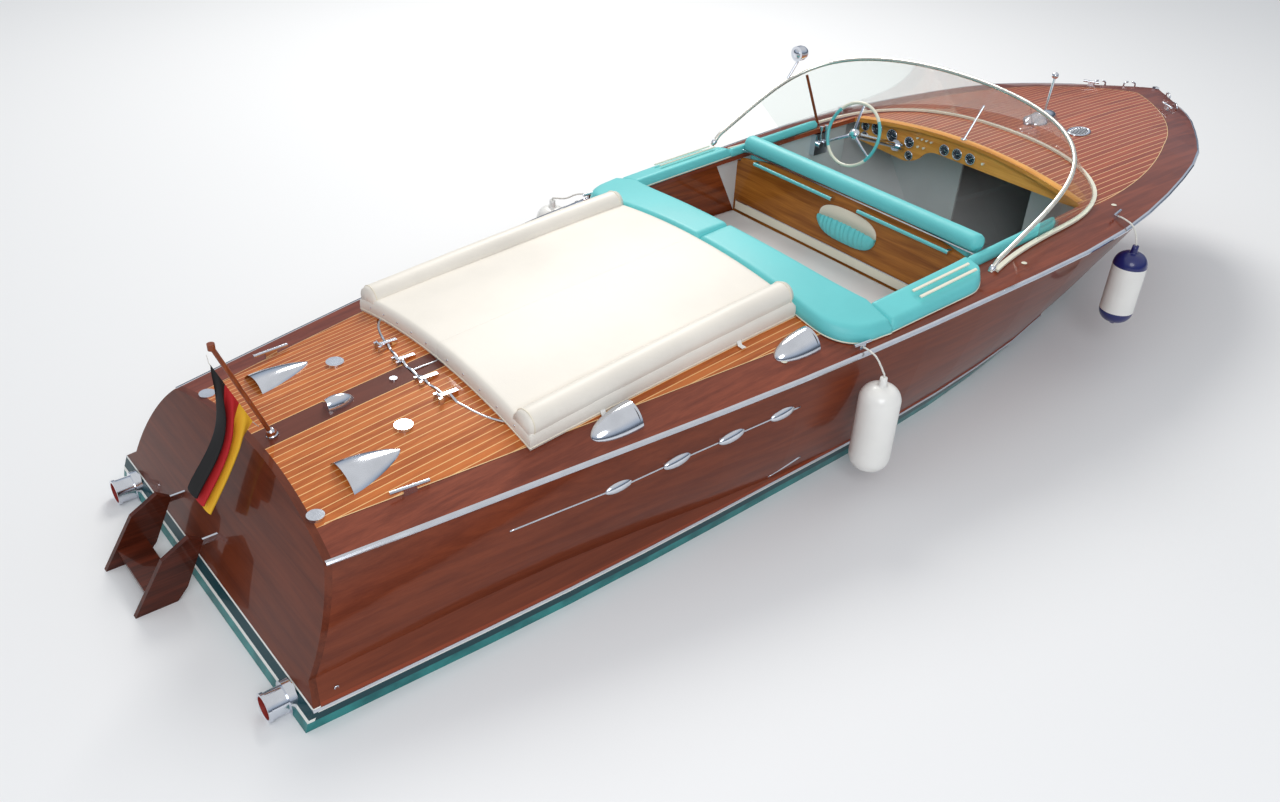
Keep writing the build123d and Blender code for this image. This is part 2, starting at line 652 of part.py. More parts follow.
def coaming_outline():
    aft = COCKPIT_AFT_X
    ThreePointArc((aft + 50, COAM_INNER), (aft - 58, 0), (aft + 50, -COAM_INNER))
    Polyline((aft + 50, -COAM_INNER), (aft + 50, -COAM_OUTER - 20), (-800, -COAM_OUTER))
    ThreePointArc((-800, -COAM_OUTER), (-935, -1075), (COAM_AFT_X, -920))
    Line((COAM_AFT_X, -920), (COAM_AFT_X, 920))
    ThreePointArc((COAM_AFT_X, 920), (-935, 1075), (-800, COAM_OUTER))
    Polyline((-800, COAM_OUTER), (aft + 50, COAM_OUTER + 20), (aft + 50, COAM_INNER))


PAD_TOP = deck_slice(2, 14, PAD_THICK, -60)
PAD_SEAT = deck_slice(2, 17, SEAT_GAP, -60)
coaming = (plan_prism(coaming_outline) & PAD_TOP) - PAD_SEAT
halves(coaming, "coaming_pad", 1.0)

side_pads = None
for side in (1, -1):
    fore, aft = SIDE_PAD[1], SIDE_PAD[0] + 5
    corner = [(fore - 90, side * 1184), (fore - 50, side * 1138), (fore, side * 1122), (fore, side * COAM_INNER)]
    wide = [(aft, side * COAM_INNER), (aft, side * 1166)] + corner
    narrow = [(fore, side * COAM_INNER), (fore, side * 1035), (1020, side * 1035), (1060, side * 1010), (1060, side * COAM_INNER)]
    pad = (prism_of(wide, 300, 1500) & deck_slice(8, 14, 74, -60)) + (prism_of(narrow, 300, 1500) & deck_slice(8, 14, 62, -60))
    pad = pad - PAD_SEAT
    side_pads = pad if side_pads is None else side_pads + pad
save(side_pads, "side_pads")

strips = None
for side in (1, -1):
    for y in (1065, 1120):
        bar = prism_of([(-560, side * (y - 7)), (120, side * (y - 7)), (120, side * (y + 7)), (-560, side * (y + 7))], 300, 1500)
        one = (bar & deck_slice(8, 14, 82, -60)) - deck_slice(8, 14, 74 + SEAT_GAP, -60)
        strips = one if strips is None else strips + one
save(strips, "armrest_strips")

RAIL_Z = 925.0
rails = None
for y0, y1 in ((105, 815), (-825, -115)):
    bar = cylinder_y(BACK_X - 36, RAIL_Z, y0, y1, 12)
    for y in (y0 + 12, y1 - 12):
        bar = bar + box_between(BACK_X - 44, BACK_X - SEAT_GAP, y - 12, y + 12, RAIL_Z - 9, RAIL_Z + 9)
    rails = bar if rails is None else rails + bar
save(rails, "grab_rails")

with BuildPart() as pocket:
    for depth, width, height in ((0, 246, 112), (34, 232, 98), (58, 186, 70)):
        with BuildSketch(Plane(origin=(BACK_X - SEAT_GAP - depth, -25, 775), x_dir=(0, 1, 0), z_dir=(-1, 0, 0))):
            Ellipse(width, height)
    loft()
save(pocket.part, "bench_pocket")

# Windshield
RIM_START = 254.0
RIM_LENGTH = 1098.0
RIM_HALF = 1165.0
RIM_Z = 1026.0
RIM_SLOPE = 0.491
RIM_RADIUS = 11.0
GLASS_START = 700.0
GLASS_FRONT = 1950.0
BASE_HALF = 1062.0
BASE_THICK = 15.0
GLASS_LIFT = 7.0
GLASS_LIFT_SIDE = 14.0


def power(value, p):
    return (1 if value >= 0 else -1) * abs(value) ** p


def rim_point(angle):
    a = radians(angle)
    x = RIM_START + RIM_LENGTH * power(cos(a), 2 / 4.58)
    return Vector(x, RIM_HALF * power(sin(a), 2 / 2.095), RIM_Z + RIM_SLOPE * (x - RIM_START))


def base_point(angle, lift=0.0):
    a = radians(angle)
    x = GLASS_START + (GLASS_FRONT - GLASS_START) * power(cos(a), 0.5)
    y = BASE_HALF * power(sin(a), 2 / 2.6)
    return Vector(x, y, deck_point(x, y) + lift)


def glass_foot(low, run, lift):
    """Where the run from the base to the rim comes clear of the moulding."""
    for step in range(8):
        rise = deck_point(low.X, low.Y) + BASE_THICK + lift - low.Z
        low = low + run * (rise / max(run.Z, 0.3))
    return low


# angle on the rim and on the base, port half
GLASS_ANGLES = [(0, 0), (15, 15), (30, 30), (45, 45), (58, 60), (70, 73), (78, 82), (83, 87), (85.5, 89.6)]
glass_pairs = [(-a, -b) for a, b in reversed(GLASS_ANGLES[1:])] + GLASS_ANGLES
glass_low = []
glass_high = []
for a, b in glass_pairs:
    top = rim_point(a)
    low = base_point(b, 4)
    run = (top - low).normalized()
    glass_low.append(glass_foot(low, run, GLASS_LIFT_SIDE if abs(a) > 40 else GLASS_LIFT))
    glass_high.append(top - run * (RIM_RADIUS + 1.5))
glass_face = Face.make_surface_from_curves(Edge.make_spline(glass_low), Edge.make_spline(glass_high))
with BuildPart() as glass:
    thicken(glass_face, amount=3, both=True)
save(glass.part, "windshield_glass")

RIM_ANGLES = [90, 88.5, 85, 80, 72, 60, 45, 30, 15]
rim_points = [rim_point(a) for a in RIM_ANGLES] + [rim_point(0)] + [rim_point(-a) for a in reversed(RIM_ANGLES)]
rim = rod(rim_points, RIM_RADIUS, 12)
for side in (1, -1):
    foot = Vector(RIM_START, side * RIM_HALF, RIM_Z)
    rim = rim + rod([foot, foot + Vector(-70, 0, -70)], RIM_RADIUS, 12) + Pos(foot.X - 45, foot.Y, foot.Z - 45) * Rot(0, 45, 0) * Cylinder(17, 26)
save(rim - deck_slice(8, 17, SEAT_GAP, -60), "windshield_rim")

BASE_ANGLES = [88, 82, 70, 55, 38, 20]


def moulding_edge(out):
    """Plan curve of the moulding, port half, from aft to the centreline."""
    points = [(320, 1127 + out), (520, 1092 + out), (GLASS_START + 20, BASE_HALF + 10 + out)]
    for angle in BASE_ANGLES:
        foot = base_point(angle)
        run = Vector(foot.X - 900, 1.5 * foot.Y, 0).normalized()
        points.append((foot.X + run.X * out, foot.Y + run.Y * out))
    return points + [(GLASS_FRONT + out, 0)]


def moulding_outline():
    outer = moulding_edge(13)
    inner = moulding_edge(-13)
    outer = outer + [(x, -y) for x, y in reversed(outer[:-1])]
    inner = inner + [(x, -y) for x, y in reversed(inner[:-1])]
    Spline(*outer)
    Spline(*inner)
    Line(outer[0], inner[0])
    Line(outer[-1], inner[-1])


moulding = plan_prism(moulding_outline) & deck_slice(8, 20, BASE_THICK, -60)
save(moulding - deck_slice(8, 20, SEAT_GAP, -60), "windshield_base")

stays = rod([(1530, 60, deck_point(1530, 60)), (1662, 41, 1307.4)], 8) + Pos(1530, 60, deck_point(1530, 60)) * Cylinder(22, 16)
stay_port = rod([(1120, 1025, deck_point(1120, 1025) - 10), (968, 1066, 1352)], 10)
save((stays + stay_port) - deck_slice(8, 20, SEAT_GAP, -60), "windshield_stays")

LAMP = Vector(925, 1128, 1440)
lamp = rod([rim_point(76) + Vector(0, 0, 14), LAMP], 8) + Pos(LAMP.X, LAMP.Y, LAMP.Z + 55) * Rot(0, 90, 0) * Cylinder(52, 46)
lamp = lamp + Pos(LAMP.X + 20, LAMP.Y, LAMP.Z + 55) * scale(Sphere(50), by=(1.15, 1, 1))
save(lamp - rod([rim_point(a) for a in (84, 80, 76, 72, 66)], RIM_RADIUS + SEAT_GAP), "searchlight")

# Deck fittings


def dome(x, y, size_x, size_y, size_z, turn=0.0):
    return Pos(x, y, deck_point(x, y)) * Rot(0, 0, turn) * scale(Sphere(1), by=(size_x, size_y, size_z))


BOW_LIGHT_X = 2350.0
bow_light = dome(BOW_LIGHT_X, 0, 190, 62, 70) + dome(BOW_LIGHT_X - 60, 0, 90, 90, 45)
bow_light = bow_light + rod([(BOW_LIGHT_X + 40, 0, 1130), (BOW_LIGHT_X + 60, 0, 1390)], 9)
bow_light = bow_light + Pos(BOW_LIGHT_X + 61, 0, 1405) * Sphere(24)
bow_light = bow_light - OUTER

OVAL = (2403.0, -293.0, 110.0, 68.0)
oval_z = deck_point(OVAL[0], OVAL[1])
with BuildPart() as oval:
    with BuildSketch(Plane.XY.offset(oval_z - 20)):
        Ellipse(OVAL[2], OVAL[3])
        Ellipse(OVAL[2] - 14, OVAL[3] - 14, mode=Mode.SUBTRACT)
    extrude(amount=30)
    for k in range(-3, 4):
        half = (OVAL[3] - 8) * (1 - (k * 25 / (OVAL[2] - 8)) ** 2) ** 0.5
        with BuildSketch(Plane.XY.offset(oval_z - 20)):
            with Locations((k * 25, 0)):
                Rectangle(9, 2 * half)
        extrude(amount=26)
vents = Pos(OVAL[0], OVAL[1], 0) * oval.part - OUTER

# x, y of the clamshell vents and of the triangular scoops
SHELLS = [(-2192, 899), (-1082, 984)]
for x, y in SHELLS:
    for side in (1, -1):
        shell = dome(x, side * y, 245, 82, 76) - box_between(x + 8, x + 400, -WIDE, WIDE, 0, 2000)
        vents = vents + (shell - OUTER)

for side in (1, -1):
    with BuildPart() as scoop:
        base = Plane(origin=(-3480, side * 463, deck_point(-3480, 463) - 30), x_dir=(0, 1, 0), z_dir=(1, 0, 0))
        for step, wide, high in ((0, 108, 78), (150, 78, 66), (290, 12, 42)):
            with BuildSketch(base.offset(step)):
                with BuildLine():
                    ThreePointArc((-wide, 0), (0, high), (wide, 0))
                    Line((wide, 0), (-wide, 0))
                make_face()
        loft()
    vents = vents + (scoop.part - OUTER)
save(vents, "deck_vents")

stern_light = dome(-3265, 0, 92, 40, 56) - box_between(-3500, -3318, -200, 200, 0, 2000)
save(bow_light + (stern_light - OUTER), "deck_lights")

# x, y, radius, height
CAPS = [(-3099, 340, 45, 12), (-3099, -340, 45, 12), (-2959, 0, 20, 7), (-3692 + 24, 582, 40, 8), (-3692 + 24, -582, 40, 8)]
caps = None
for x, y, radius, high in CAPS:
    disc = Pos(x, y, deck_point(x, y) + high / 2 - 15) * Cylinder(radius, high + 30)
    caps = disc if caps is None else caps + disc
save(caps - OUTER, "deck_caps")

# x, y, length, turn
CLEATS = [(-3280, 703, 190, 5), (-868, 1165, 120, 3), (1537, 1150, 120, -12), (3560, 330, 120, -60)]
cleats = None
for x, y, size, turn in CLEATS:
    for side in (1, -1):
        place = Pos(x, side * y, deck_point(x, y)) * Rot(0, 0, side * turn)
        horns = Rot(0, 90, 0) * Cylinder(9, size)
        cleat = place * (Pos(0, 0, 34) * horns + Pos(0, 0, 6) * Box(0.34 * size, 16, 52))
        cleats = cleat if cleats is None else cleats + cleat
save(cleats - OUTER, "cleats")

# x, y, z of the teardrop vents along the side
TEARDROPS = [(-2375, 1046, 528), (-2055, 1088, 560), (-1728, 1120, 588), (-1400, 1146, 612)]
side_vents = None
for side in (1, -1):
    for x, y, z in TEARDROPS:
        drop = Pos(x, side * y, z) * Rot(0, -4, 0) * scale(Sphere(1), by=(88, 26, 33))
        side_vents = drop if side_vents is None else side_vents + drop
save(side_vents - OUTER, "side_vents")

# Flagstaff and flag
STAFF_FOOT = (-3592.0, 0.0, 722.0)
STAFF_TOP = (-3790.0, 0.0, 1254.0)
staff = rod([STAFF_FOOT, STAFF_TOP], 11) + Pos(*STAFF_TOP) * Cylinder(17, 30) + Pos(-3592, 0, 724) * Cylinder(24, 30)
save(staff - OUTER, "flagstaff")
with BuildPart() as flag:
    with BuildSketch(Plane.XZ):
        with BuildLine():
            Polyline((-3780, 1200), (-3672, 900), (-3670, 840), (-3775, 640), (-3908, 395), (-3985, 400), (-4005, 600), (-3850, 1060), close=True)
        make_face()
    extrude(amount=24, both=True)
save(flag.part - rod([STAFF_FOOT, STAFF_TOP], 11 + SEAT_GAP), "flag")

# Boarding ladder hooked on the transom
LADDER_Y = (10.0, 405.0)
ladder = None
for y in LADDER_Y:
    with BuildPart() as side_board:
        with BuildSketch(Plane.XZ.offset(-y)):
            with BuildLine():
                Polyline((-3985, 285), (-4045, 330), (-4180, 255), (-4470, -190), (-4380, -245), (-4095, 60), close=True)
            make_face()
        extrude(amount=14, both=True)
    ladder = side_board.part if ladder is None else ladder + side_board.part
for x, z in ((-4190, 90), (-4330, -95)):
    ladder = ladder + box_between(x - 85, x + 55, LADDER_Y[0], LADDER_Y[1], z - 12, z + 12)
for y in LADDER_Y:
    ladder = ladder + box_between(-4060, -3900, y - 6, y + 6, 255, 285) - OUTER
save(ladder, "boarding_ladder")

# Fenders on their lanyards: x, y, middle z, length, radius, x and y of the cleat
FENDERS = [
    (-880, -1345, 430, 560, 112, -868, -1165),
    (1500, -1345, 560, 520, 105, 1537, -1150),
    (-1040, 1345, 490, 520, 105, -868, 1165),
]
fenders = None
lanyards = None
for x, y, z, size, radius, cleat_x, cleat_y in FENDERS:
    with BuildPart() as turned:
        with BuildSketch(Plane.XZ):
            with BuildLine():
                low, high = -size / 2, size / 2
                Line((0, low), (0, high + 30))
                Line((0, high + 30), (24, high + 30))
                Line((24, high + 30), (24, high - 8))
                Polyline((24, high - 8), (0.5 * radius, high - 0.12 * radius), (0.84 * radius, high - 0.38 * radius), (radius, high - 0.75 * radius))
                Line((radius, high - 0.75 * radius), (radius, low + 0.75 * radius))
                Polyline((radius, low + 0.75 * radius), (0.84 * radius, low + 0.38 * radius), (0.5 * radius, low + 0.12 * radius), (24, low))
                Line((24, low), (0, low))
            make_face()
        revolve(axis=Axis.Z)
    body = Pos(x, y, z) * turned.part
    fenders = body if fenders is None else fenders + body
    side = 1 if y > 0 else -1
    mid_x = (x + cleat_x) / 2
    rail = Vector(mid_x, side * 1310, deck_point(mid_x, 1200) - 20)
    over = Vector(mid_x + (cleat_x - x) / 4, side * 1268, deck_point(mid_x, 1200) + 18)
    top = Vector(x, y, z + size / 2 + 30.3)
    end = Vector(cleat_x, cleat_y + side * 9.9, deck_point(cleat_x, abs(cleat_y)) + 17)
    cord = rod([top, top + Vector(0, 0, 14), rail, over, end + Vector(0, side * 30, 0), end], 6, 8)
    lanyards = cord if lanyards is None else lanyards + cord
save(fenders, "fenders")
save(lanyards - OUTER, "fender_lanyards")
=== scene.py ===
import math
import bmesh
import bpy
import numpy as np
from mathutils import Matrix, Vector
from mathutils.bvhtree import BVHTree


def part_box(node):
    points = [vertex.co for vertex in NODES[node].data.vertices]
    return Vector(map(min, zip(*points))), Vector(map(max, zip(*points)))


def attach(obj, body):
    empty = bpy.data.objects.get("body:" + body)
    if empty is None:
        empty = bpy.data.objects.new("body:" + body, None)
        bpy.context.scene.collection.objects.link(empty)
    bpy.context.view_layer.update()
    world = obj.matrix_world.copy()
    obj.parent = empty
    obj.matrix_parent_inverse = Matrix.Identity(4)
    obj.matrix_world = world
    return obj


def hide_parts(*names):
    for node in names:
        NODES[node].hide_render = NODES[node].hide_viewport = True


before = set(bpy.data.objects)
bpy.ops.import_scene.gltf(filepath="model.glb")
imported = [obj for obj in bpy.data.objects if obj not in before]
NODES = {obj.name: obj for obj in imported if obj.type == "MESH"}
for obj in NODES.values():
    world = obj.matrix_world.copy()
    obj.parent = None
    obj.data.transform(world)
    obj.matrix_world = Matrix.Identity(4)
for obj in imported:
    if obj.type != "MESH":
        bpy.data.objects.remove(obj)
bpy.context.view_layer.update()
HULL = "hull"
SIDES = ((1, "port"), (-1, "starboard"))
UP, DOWN = (0, 0, 1), (0, 0, -1)


class Wire:
    """One output of a node; arithmetic on it adds Math nodes."""

    def __init__(self, finish, socket):
        self.finish = finish
        self.socket = socket

    def calc(self, operation, *others):
        values = dict(enumerate((self,) + others))
        return self.finish.node("ShaderNodeMath", {"operation": operation}, values)

    def __add__(self, other):
        return self.calc("ADD", other)

    def __sub__(self, other):
        return self.calc("SUBTRACT", other)

    def __mul__(self, other):
        return self.calc("MULTIPLY", other)

    def __truediv__(self, other):
        return self.calc("DIVIDE", other)

    def __lt__(self, other):
        return self.calc("LESS_THAN", other)

    def __gt__(self, other):
        return self.calc("GREATER_THAN", other)

    def span(self, low, high, top):
        """0 below low, top above high, straight between."""
        values = {"Value": self, "From Min": low, "From Max": high, "To Max": top}
        return self.finish.node("ShaderNodeMapRange", {"interpolation_type": "LINEAR"}, values)

    def ramp(self, low, high):
        """0 below low, 1 above high, smooth between."""
        values = {"Value": self, "From Min": low, "From Max": high}
        return self.finish.node("ShaderNodeMapRange", {"interpolation_type": "SMOOTHSTEP"}, values)


class Finish:
    """A material built on one Principled shader."""

    def __init__(self, name, **constants):
        self.material = bpy.data.materials.new(name)
        self.material.use_nodes = True
        self.tree = self.material.node_tree
        self.shader = self.tree.nodes["Principled BSDF"]
        self.set(**constants)

    def node(self, kind, settings=None, values=None, out=0):
        made = self.tree.nodes.new(kind)
        for key, value in (settings or {}).items():
            setattr(made, key, value)
        for key, value in (values or {}).items():
            self.feed(made.inputs[key], value)
        return Wire(self, made.outputs[out])

    def feed(self, socket, value):
        if isinstance(value, Wire):
            self.tree.links.new(value.socket, socket)
        elif isinstance(value, tuple) and len(value) == 3 and len(socket.default_value) == 4:
            socket.default_value = (*value, 1)
        else:
            socket.default_value = value

    def set(self, **values):
        for key, value in values.items():
            self.feed(self.shader.inputs[key.replace("_", " ")], value)
        return self

    def split(self, vector):
        """The three parts of a vector as wires."""
        parts = self.node("ShaderNodeSeparateXYZ", None, {0: vector}).socket.node.outputs
        return [Wire(self, parts[i]) for i in range(3)]

    def place(self):
        """Object coordinates, as one wire."""
        return self.node("ShaderNodeTexCoord", out=3)

    def noise(self, where, scale, detail, rough=0.5, distortion=0.0, factors=(1, 1, 1)):
        """Noise over coordinates that are first stretched by the factors."""
        drawn = self.node("ShaderNodeVectorMath", {"operation": "MULTIPLY"}, {0: where, 1: factors})
        values = {
            "Vector": drawn, "Scale": scale, "Detail": detail, "Roughness": rough, "Distortion": distortion,
        }
        return self.node("ShaderNodeTexNoise", {"noise_dimensions": "3D"}, values)

    def mix(self, low, high, mask):
        return self.node("ShaderNodeMix", {"data_type": "RGBA"}, {0: mask, 6: low, 7: high}, out=2)

    def shade(self, colour, value):
        """Colour times a number that varies."""
        grey = self.node("ShaderNodeCombineXYZ", None, {0: value, 1: value, 2: value})
        settings = {"data_type": "RGBA", "blend_type": "MULTIPLY"}
        return self.node("ShaderNodeMix", settings, {0: 1.0, 6: colour, 7: grey}, out=2)

    def bump(self, height, strength, distance):
        values = {"Height": height, "Strength": strength, "Distance": distance}
        return self.set(Normal=self.node("ShaderNodeBump", None, values))


def srgb(red, green, blue):
    """Screen colour, 0 to 255, as linear light."""
    parts = [c / 255 for c in (red, green, blue)]
    return tuple(c / 12.92 if c <= 0.04045 else ((c + 0.055) / 1.055) ** 2.4 for c in parts)


# Varnished wood
PLANK = 0.0405
KING_PALE, KING_DEEP = srgb(118, 60, 44), srgb(78, 36, 26)


def wood(name, pale, deep, grain_axis=0, seams=None, king=0.0, coat=0.55):
    """Grain drawn out along one axis under clear varnish.

    Seams give deck planks that run fore and aft, and king is half the breadth of a dark plank amidships.
    """
    varnish = {"Coat_Weight": coat, "Coat_Roughness": 0.035, "Coat_IOR": 1.45, "Specular_IOR_Level": 0.12}
    finish = Finish(name, Roughness=0.34, **varnish)
    where = finish.place()
    long, fine = [14.0] * 3, [170.0] * 3
    long[grain_axis], fine[grain_axis] = 0.9, 5.0
    broad = finish.noise(where, 1.6, 3.0, 0.55, 0.6, tuple(long))
    pores = finish.noise(where, 1.0, 2.0, 0.6, 0.0, tuple(fine))
    tone = broad.ramp(0.3, 0.72) * 0.75 + pores.ramp(0.35, 0.7) * 0.25
    if seams:
        y = finish.split(where)[1]
        offset = y.calc("ABSOLUTE") - king
        cell = offset / PLANK
        index = cell.calc("FLOOR") + (y > 0) * 57.0
        own = finish.node("ShaderNodeTexWhiteNoise", {"noise_dimensions": "1D"}, {"W": index})
        tone = tone * 0.62 + own * 0.38
    colour = finish.mix(deep, pale, tone)
    colour = finish.shade(colour, finish.noise(where, 1.3, 2.0).ramp(0.2, 0.8) * 0.10 + 0.94)
    if seams:
        line = (cell.calc("FRACT") - 0.5).calc("ABSOLUTE").ramp(0.43, 0.455)
        colour = finish.mix(colour, seams, line)
        if king:
            colour = finish.mix(colour, finish.mix(KING_DEEP, KING_PALE, broad), offset < 0.0)
            edge = (offset + 0.0012).calc("ABSOLUTE") < 0.0016
            colour = finish.mix(colour, seams, edge)
    finish.set(Base_Color=colour, Roughness=pores * 0.12 + 0.28)
    return finish.bump(pores, 0.05, 0.0004)


deck_wood = wood("deck planks", srgb(212, 122, 58), srgb(160, 78, 32), seams=srgb(240, 190, 128), king=0.076)
fore_wood = wood("foredeck planks", srgb(184, 92, 58), srgb(138, 62, 40), seams=srgb(232, 180, 132))
cover_wood = wood("covering board mahogany", srgb(140, 70, 48), srgb(108, 50, 35))
panel_wood = wood("cockpit mahogany", srgb(140, 68, 32), srgb(98, 44, 20))
back_wood = wood("bench back walnut", srgb(184, 118, 48), srgb(128, 72, 24), grain_axis=1, coat=0.35)
dash_wood = wood("dashboard veneer", srgb(246, 178, 88), srgb(206, 132, 54), grain_axis=1, coat=0.35)
ladder_wood = wood("ladder mahogany", srgb(96, 40, 24), srgb(56, 22, 13), coat=0.4)
staff_wood = wood("flagstaff wood", srgb(158, 80, 38), srgb(112, 50, 24), grain_axis=2)
bare_wood = wood("inner woodwork", srgb(150, 112, 74), srgb(118, 84, 54), coat=0.1)

DARK_TEAL = srgb(14, 62, 70)
BOOT_WHITE = srgb(236, 236, 230)
# Lighter red for the spray ledge: painted sunlight on its flat top, over the same mahogany
LEDGE_PAINTED_SUNLIGHT = srgb(146, 66, 40)
LEDGE_TOP = 0.134
SIDE_BANDS = [(0.052, DARK_TEAL), (0.094, BOOT_WHITE), (0.106, None)]
STERN_BANDS = [(0.052, BOOT_WHITE), (0.070, DARK_TEAL), (0.118, BOOT_WHITE), (0.127, None)]


def painted_hull(name, pale, deep, grain_axis, bands, rising=False):
    """Wood above the water over paint bands by height.

    Rising bands climb towards the bow with the sheer of the boot line.
    """
    finish = wood(name, pale, deep, grain_axis, coat=0.4)
    above = Wire(finish, finish.shader.inputs["Base Color"].links[0].from_socket)
    where = finish.place()
    x, _, z = finish.split(where)
    if rising:
        z = z - (x.span(1.3, 2.68, 0.11) + x.span(2.68, 3.6, 0.02))
        # Below the ledge top the wood is mostly the lighter red: painted sunlight on the ledge
        above = finish.mix(finish.mix(LEDGE_PAINTED_SUNLIGHT, above, 0.25), above, z > LEDGE_TOP)
    worn = finish.noise(where, 7.0, 4.0)
    colour = finish.mix(srgb(24, 102, 104), srgb(48, 140, 138), worn.ramp(0.3, 0.7))
    for level, band in bands:
        colour = finish.mix(colour, band or above, z > level)
    return finish.set(Base_Color=colour)


hull_paint = painted_hull(
    "hull side and boot stripes", srgb(126, 60, 36), srgb(102, 46, 28), 0, SIDE_BANDS, rising=True,
)
# The transom's wood is darker than the sides' wood: painted shade on the transom, over the boot stripes
shaded_stern_paint = painted_hull("transom with painted shade and boot stripes", srgb(112, 52, 30), srgb(86, 38, 22), 1, STERN_BANDS)


# Coverings
def vinyl(name, colour, grain=0.35):
    """Soft vinyl: fine pebble grain, a little colour drift and darker creases."""
    finish = Finish(name, Coat_Weight=0.12, Coat_Roughness=0.3)
    where = finish.place()
    drift = finish.noise(where, 2.6, 3.0)
    pebble = finish.node("ShaderNodeTexVoronoi", {"feature": "F1"}, {"Vector": where, "Scale": 420.0})
    crease = finish.noise(where, 9.0, 4.0, 0.6, 0.8)
    finish.set(Base_Color=finish.shade(colour, drift.ramp(0.2, 0.8) * 0.10 + 0.93))
    finish.set(Roughness=drift * 0.16 + 0.42)
    return finish.bump(pebble * 0.15 + crease, grain, 0.004)


turquoise = vinyl("turquoise vinyl", srgb(104, 206, 208))
cream = vinyl("cream vinyl", srgb(238, 232, 221), 0.25)
piping_cream = vinyl("cream piping", srgb(240, 232, 212), 0.1)
white_vinyl = vinyl("white floor covering", srgb(214, 214, 214), 0.3)
pale_panel = vinyl("pale painted panel", srgb(206, 208, 208), 0.1)


def metal(name, colour, roughness, bump=0.0):
    finish = Finish(name, Metallic=1.0, Roughness=roughness)
    smear = finish.noise(finish.place(), 11.0, 3.0)
    finish.set(Base_Color=finish.shade(colour, smear.ramp(0.25, 0.75) * 0.1 + 0.9))
    finish.set(Roughness=smear * 0.1 + roughness)
    if bump:
        finish.bump(smear, bump, 0.002)
    return finish


chrome = metal("chrome", srgb(226, 230, 238), 0.08)
bright_rim = metal("bright rim", srgb(238, 236, 226), 0.22)
bronze = metal("bronze", srgb(176, 128, 72), 0.3, 0.2)
iron = metal("engine iron", srgb(92, 96, 100), 0.45, 0.4)


def plastic(name, colour, roughness=0.25, coat=0.4):
    finish = Finish(name, Coat_Weight=coat, Coat_Roughness=0.08)
    drift = finish.noise(finish.place(), 6.0, 3.0)
    finish.set(Base_Color=finish.shade(colour, drift.ramp(0.2, 0.8) * 0.06 + 0.95))
    return finish.set(Roughness=drift * 0.1 + roughness)


ivory = plastic("ivory moulding", srgb(240, 236, 216))
white_plastic = plastic("white plastic", srgb(244, 243, 238))
navy = plastic("navy plastic", srgb(26, 34, 104))
turquoise_plastic = plastic("turquoise enamel", srgb(96, 196, 198))
black_dial = plastic("dial blue black", srgb(26, 38, 54), 0.2)
dial_white = plastic("dial markings", srgb(230, 232, 230))
pale_seam = plastic("pale seam", srgb(236, 196, 140), 0.35)
# Near-black sheets for open mouths and holes: painted shade
painted_shade_gap = plastic("painted shade in recess", srgb(14, 13, 12), 0.6, 0.0)
red_inside = plastic("red oxide", srgb(150, 42, 34), 0.5, 0.0)

glass = Finish("windscreen glass", Base_Color=srgb(206, 222, 214), Roughness=0.02, Alpha=0.3)
glass.set(Transmission_Weight=1.0, IOR=1.06, Specular_IOR_Level=0.9)


def cord_finish(name, colour):
    finish = Finish(name, Roughness=0.8)
    fuzz = finish.noise(finish.place(), 240.0, 2.0)
    finish.set(Base_Color=finish.shade(colour, fuzz.ramp(0.3, 0.7) * 0.25 + 0.8))
    return finish.bump(fuzz, 0.4, 0.001)


white_cord = cord_finish("white cord", srgb(232, 230, 222))


def dress(finish, *names):
    """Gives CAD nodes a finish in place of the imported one."""
    for name in names:
        slots = NODES[name].material_slots
        if not slots:
            NODES[name].data.materials.append(finish.material)
        for slot in slots:
            slot.material = finish.material


dress(deck_wood, "aft_deck", "hatch_port", "hatch_starboard")
dress(fore_wood, "foredeck")
dress(cover_wood, "covering_board_port", "covering_board_starboard")
dress(hull_paint, "topside_port", "topside_starboard", "hull_bottom", "keel")
dress(shaded_stern_paint, "transom")
dress(dash_wood, "dashboard")
dress(back_wood, "bench_back")
dress(panel_wood, "cockpit_liners")
dress(white_vinyl, "cockpit_floor")
dress(bare_wood, "bulkheads", "bench_bases", "engine_beds")
dress(ladder_wood, "boarding_ladder")
dress(staff_wood, "flagstaff")
dress(
    chrome, "rub_rails", "stem_band", "exhausts", "windshield_stays", "searchlight", "deck_vents",
    "deck_lights", "deck_caps", "cleats", "side_vents", "throttles", "steering_column", "boot_strips",
    "dash_instruments", "hatch_hinges",
)
dress(bright_rim, "windshield_rim")
dress(ivory, "windshield_base", "armrest_strips")
dress(turquoise_plastic, "grab_rails")
dress(glass, "windshield_glass")
dress(iron, "engines")
dress(bronze, "propeller_port", "propeller_starboard", "rudder_port", "rudder_starboard", "shaft_gear")


# Surfaces worked out as arrays
def skin_tree(name):
    """The skin of a CAD node, to be met by rays."""
    skin = NODES[name].data
    return BVHTree.FromPolygons([v.co[:] for v in skin.vertices], [p.vertices[:] for p in skin.polygons])


def met(trees, start, way):
    """Where a ray first meets each of the skins that it meets at all."""
    found = [tree.ray_cast(Vector(start), Vector(way))[0] for tree in trees]
    return [spot for spot in found if spot is not None]


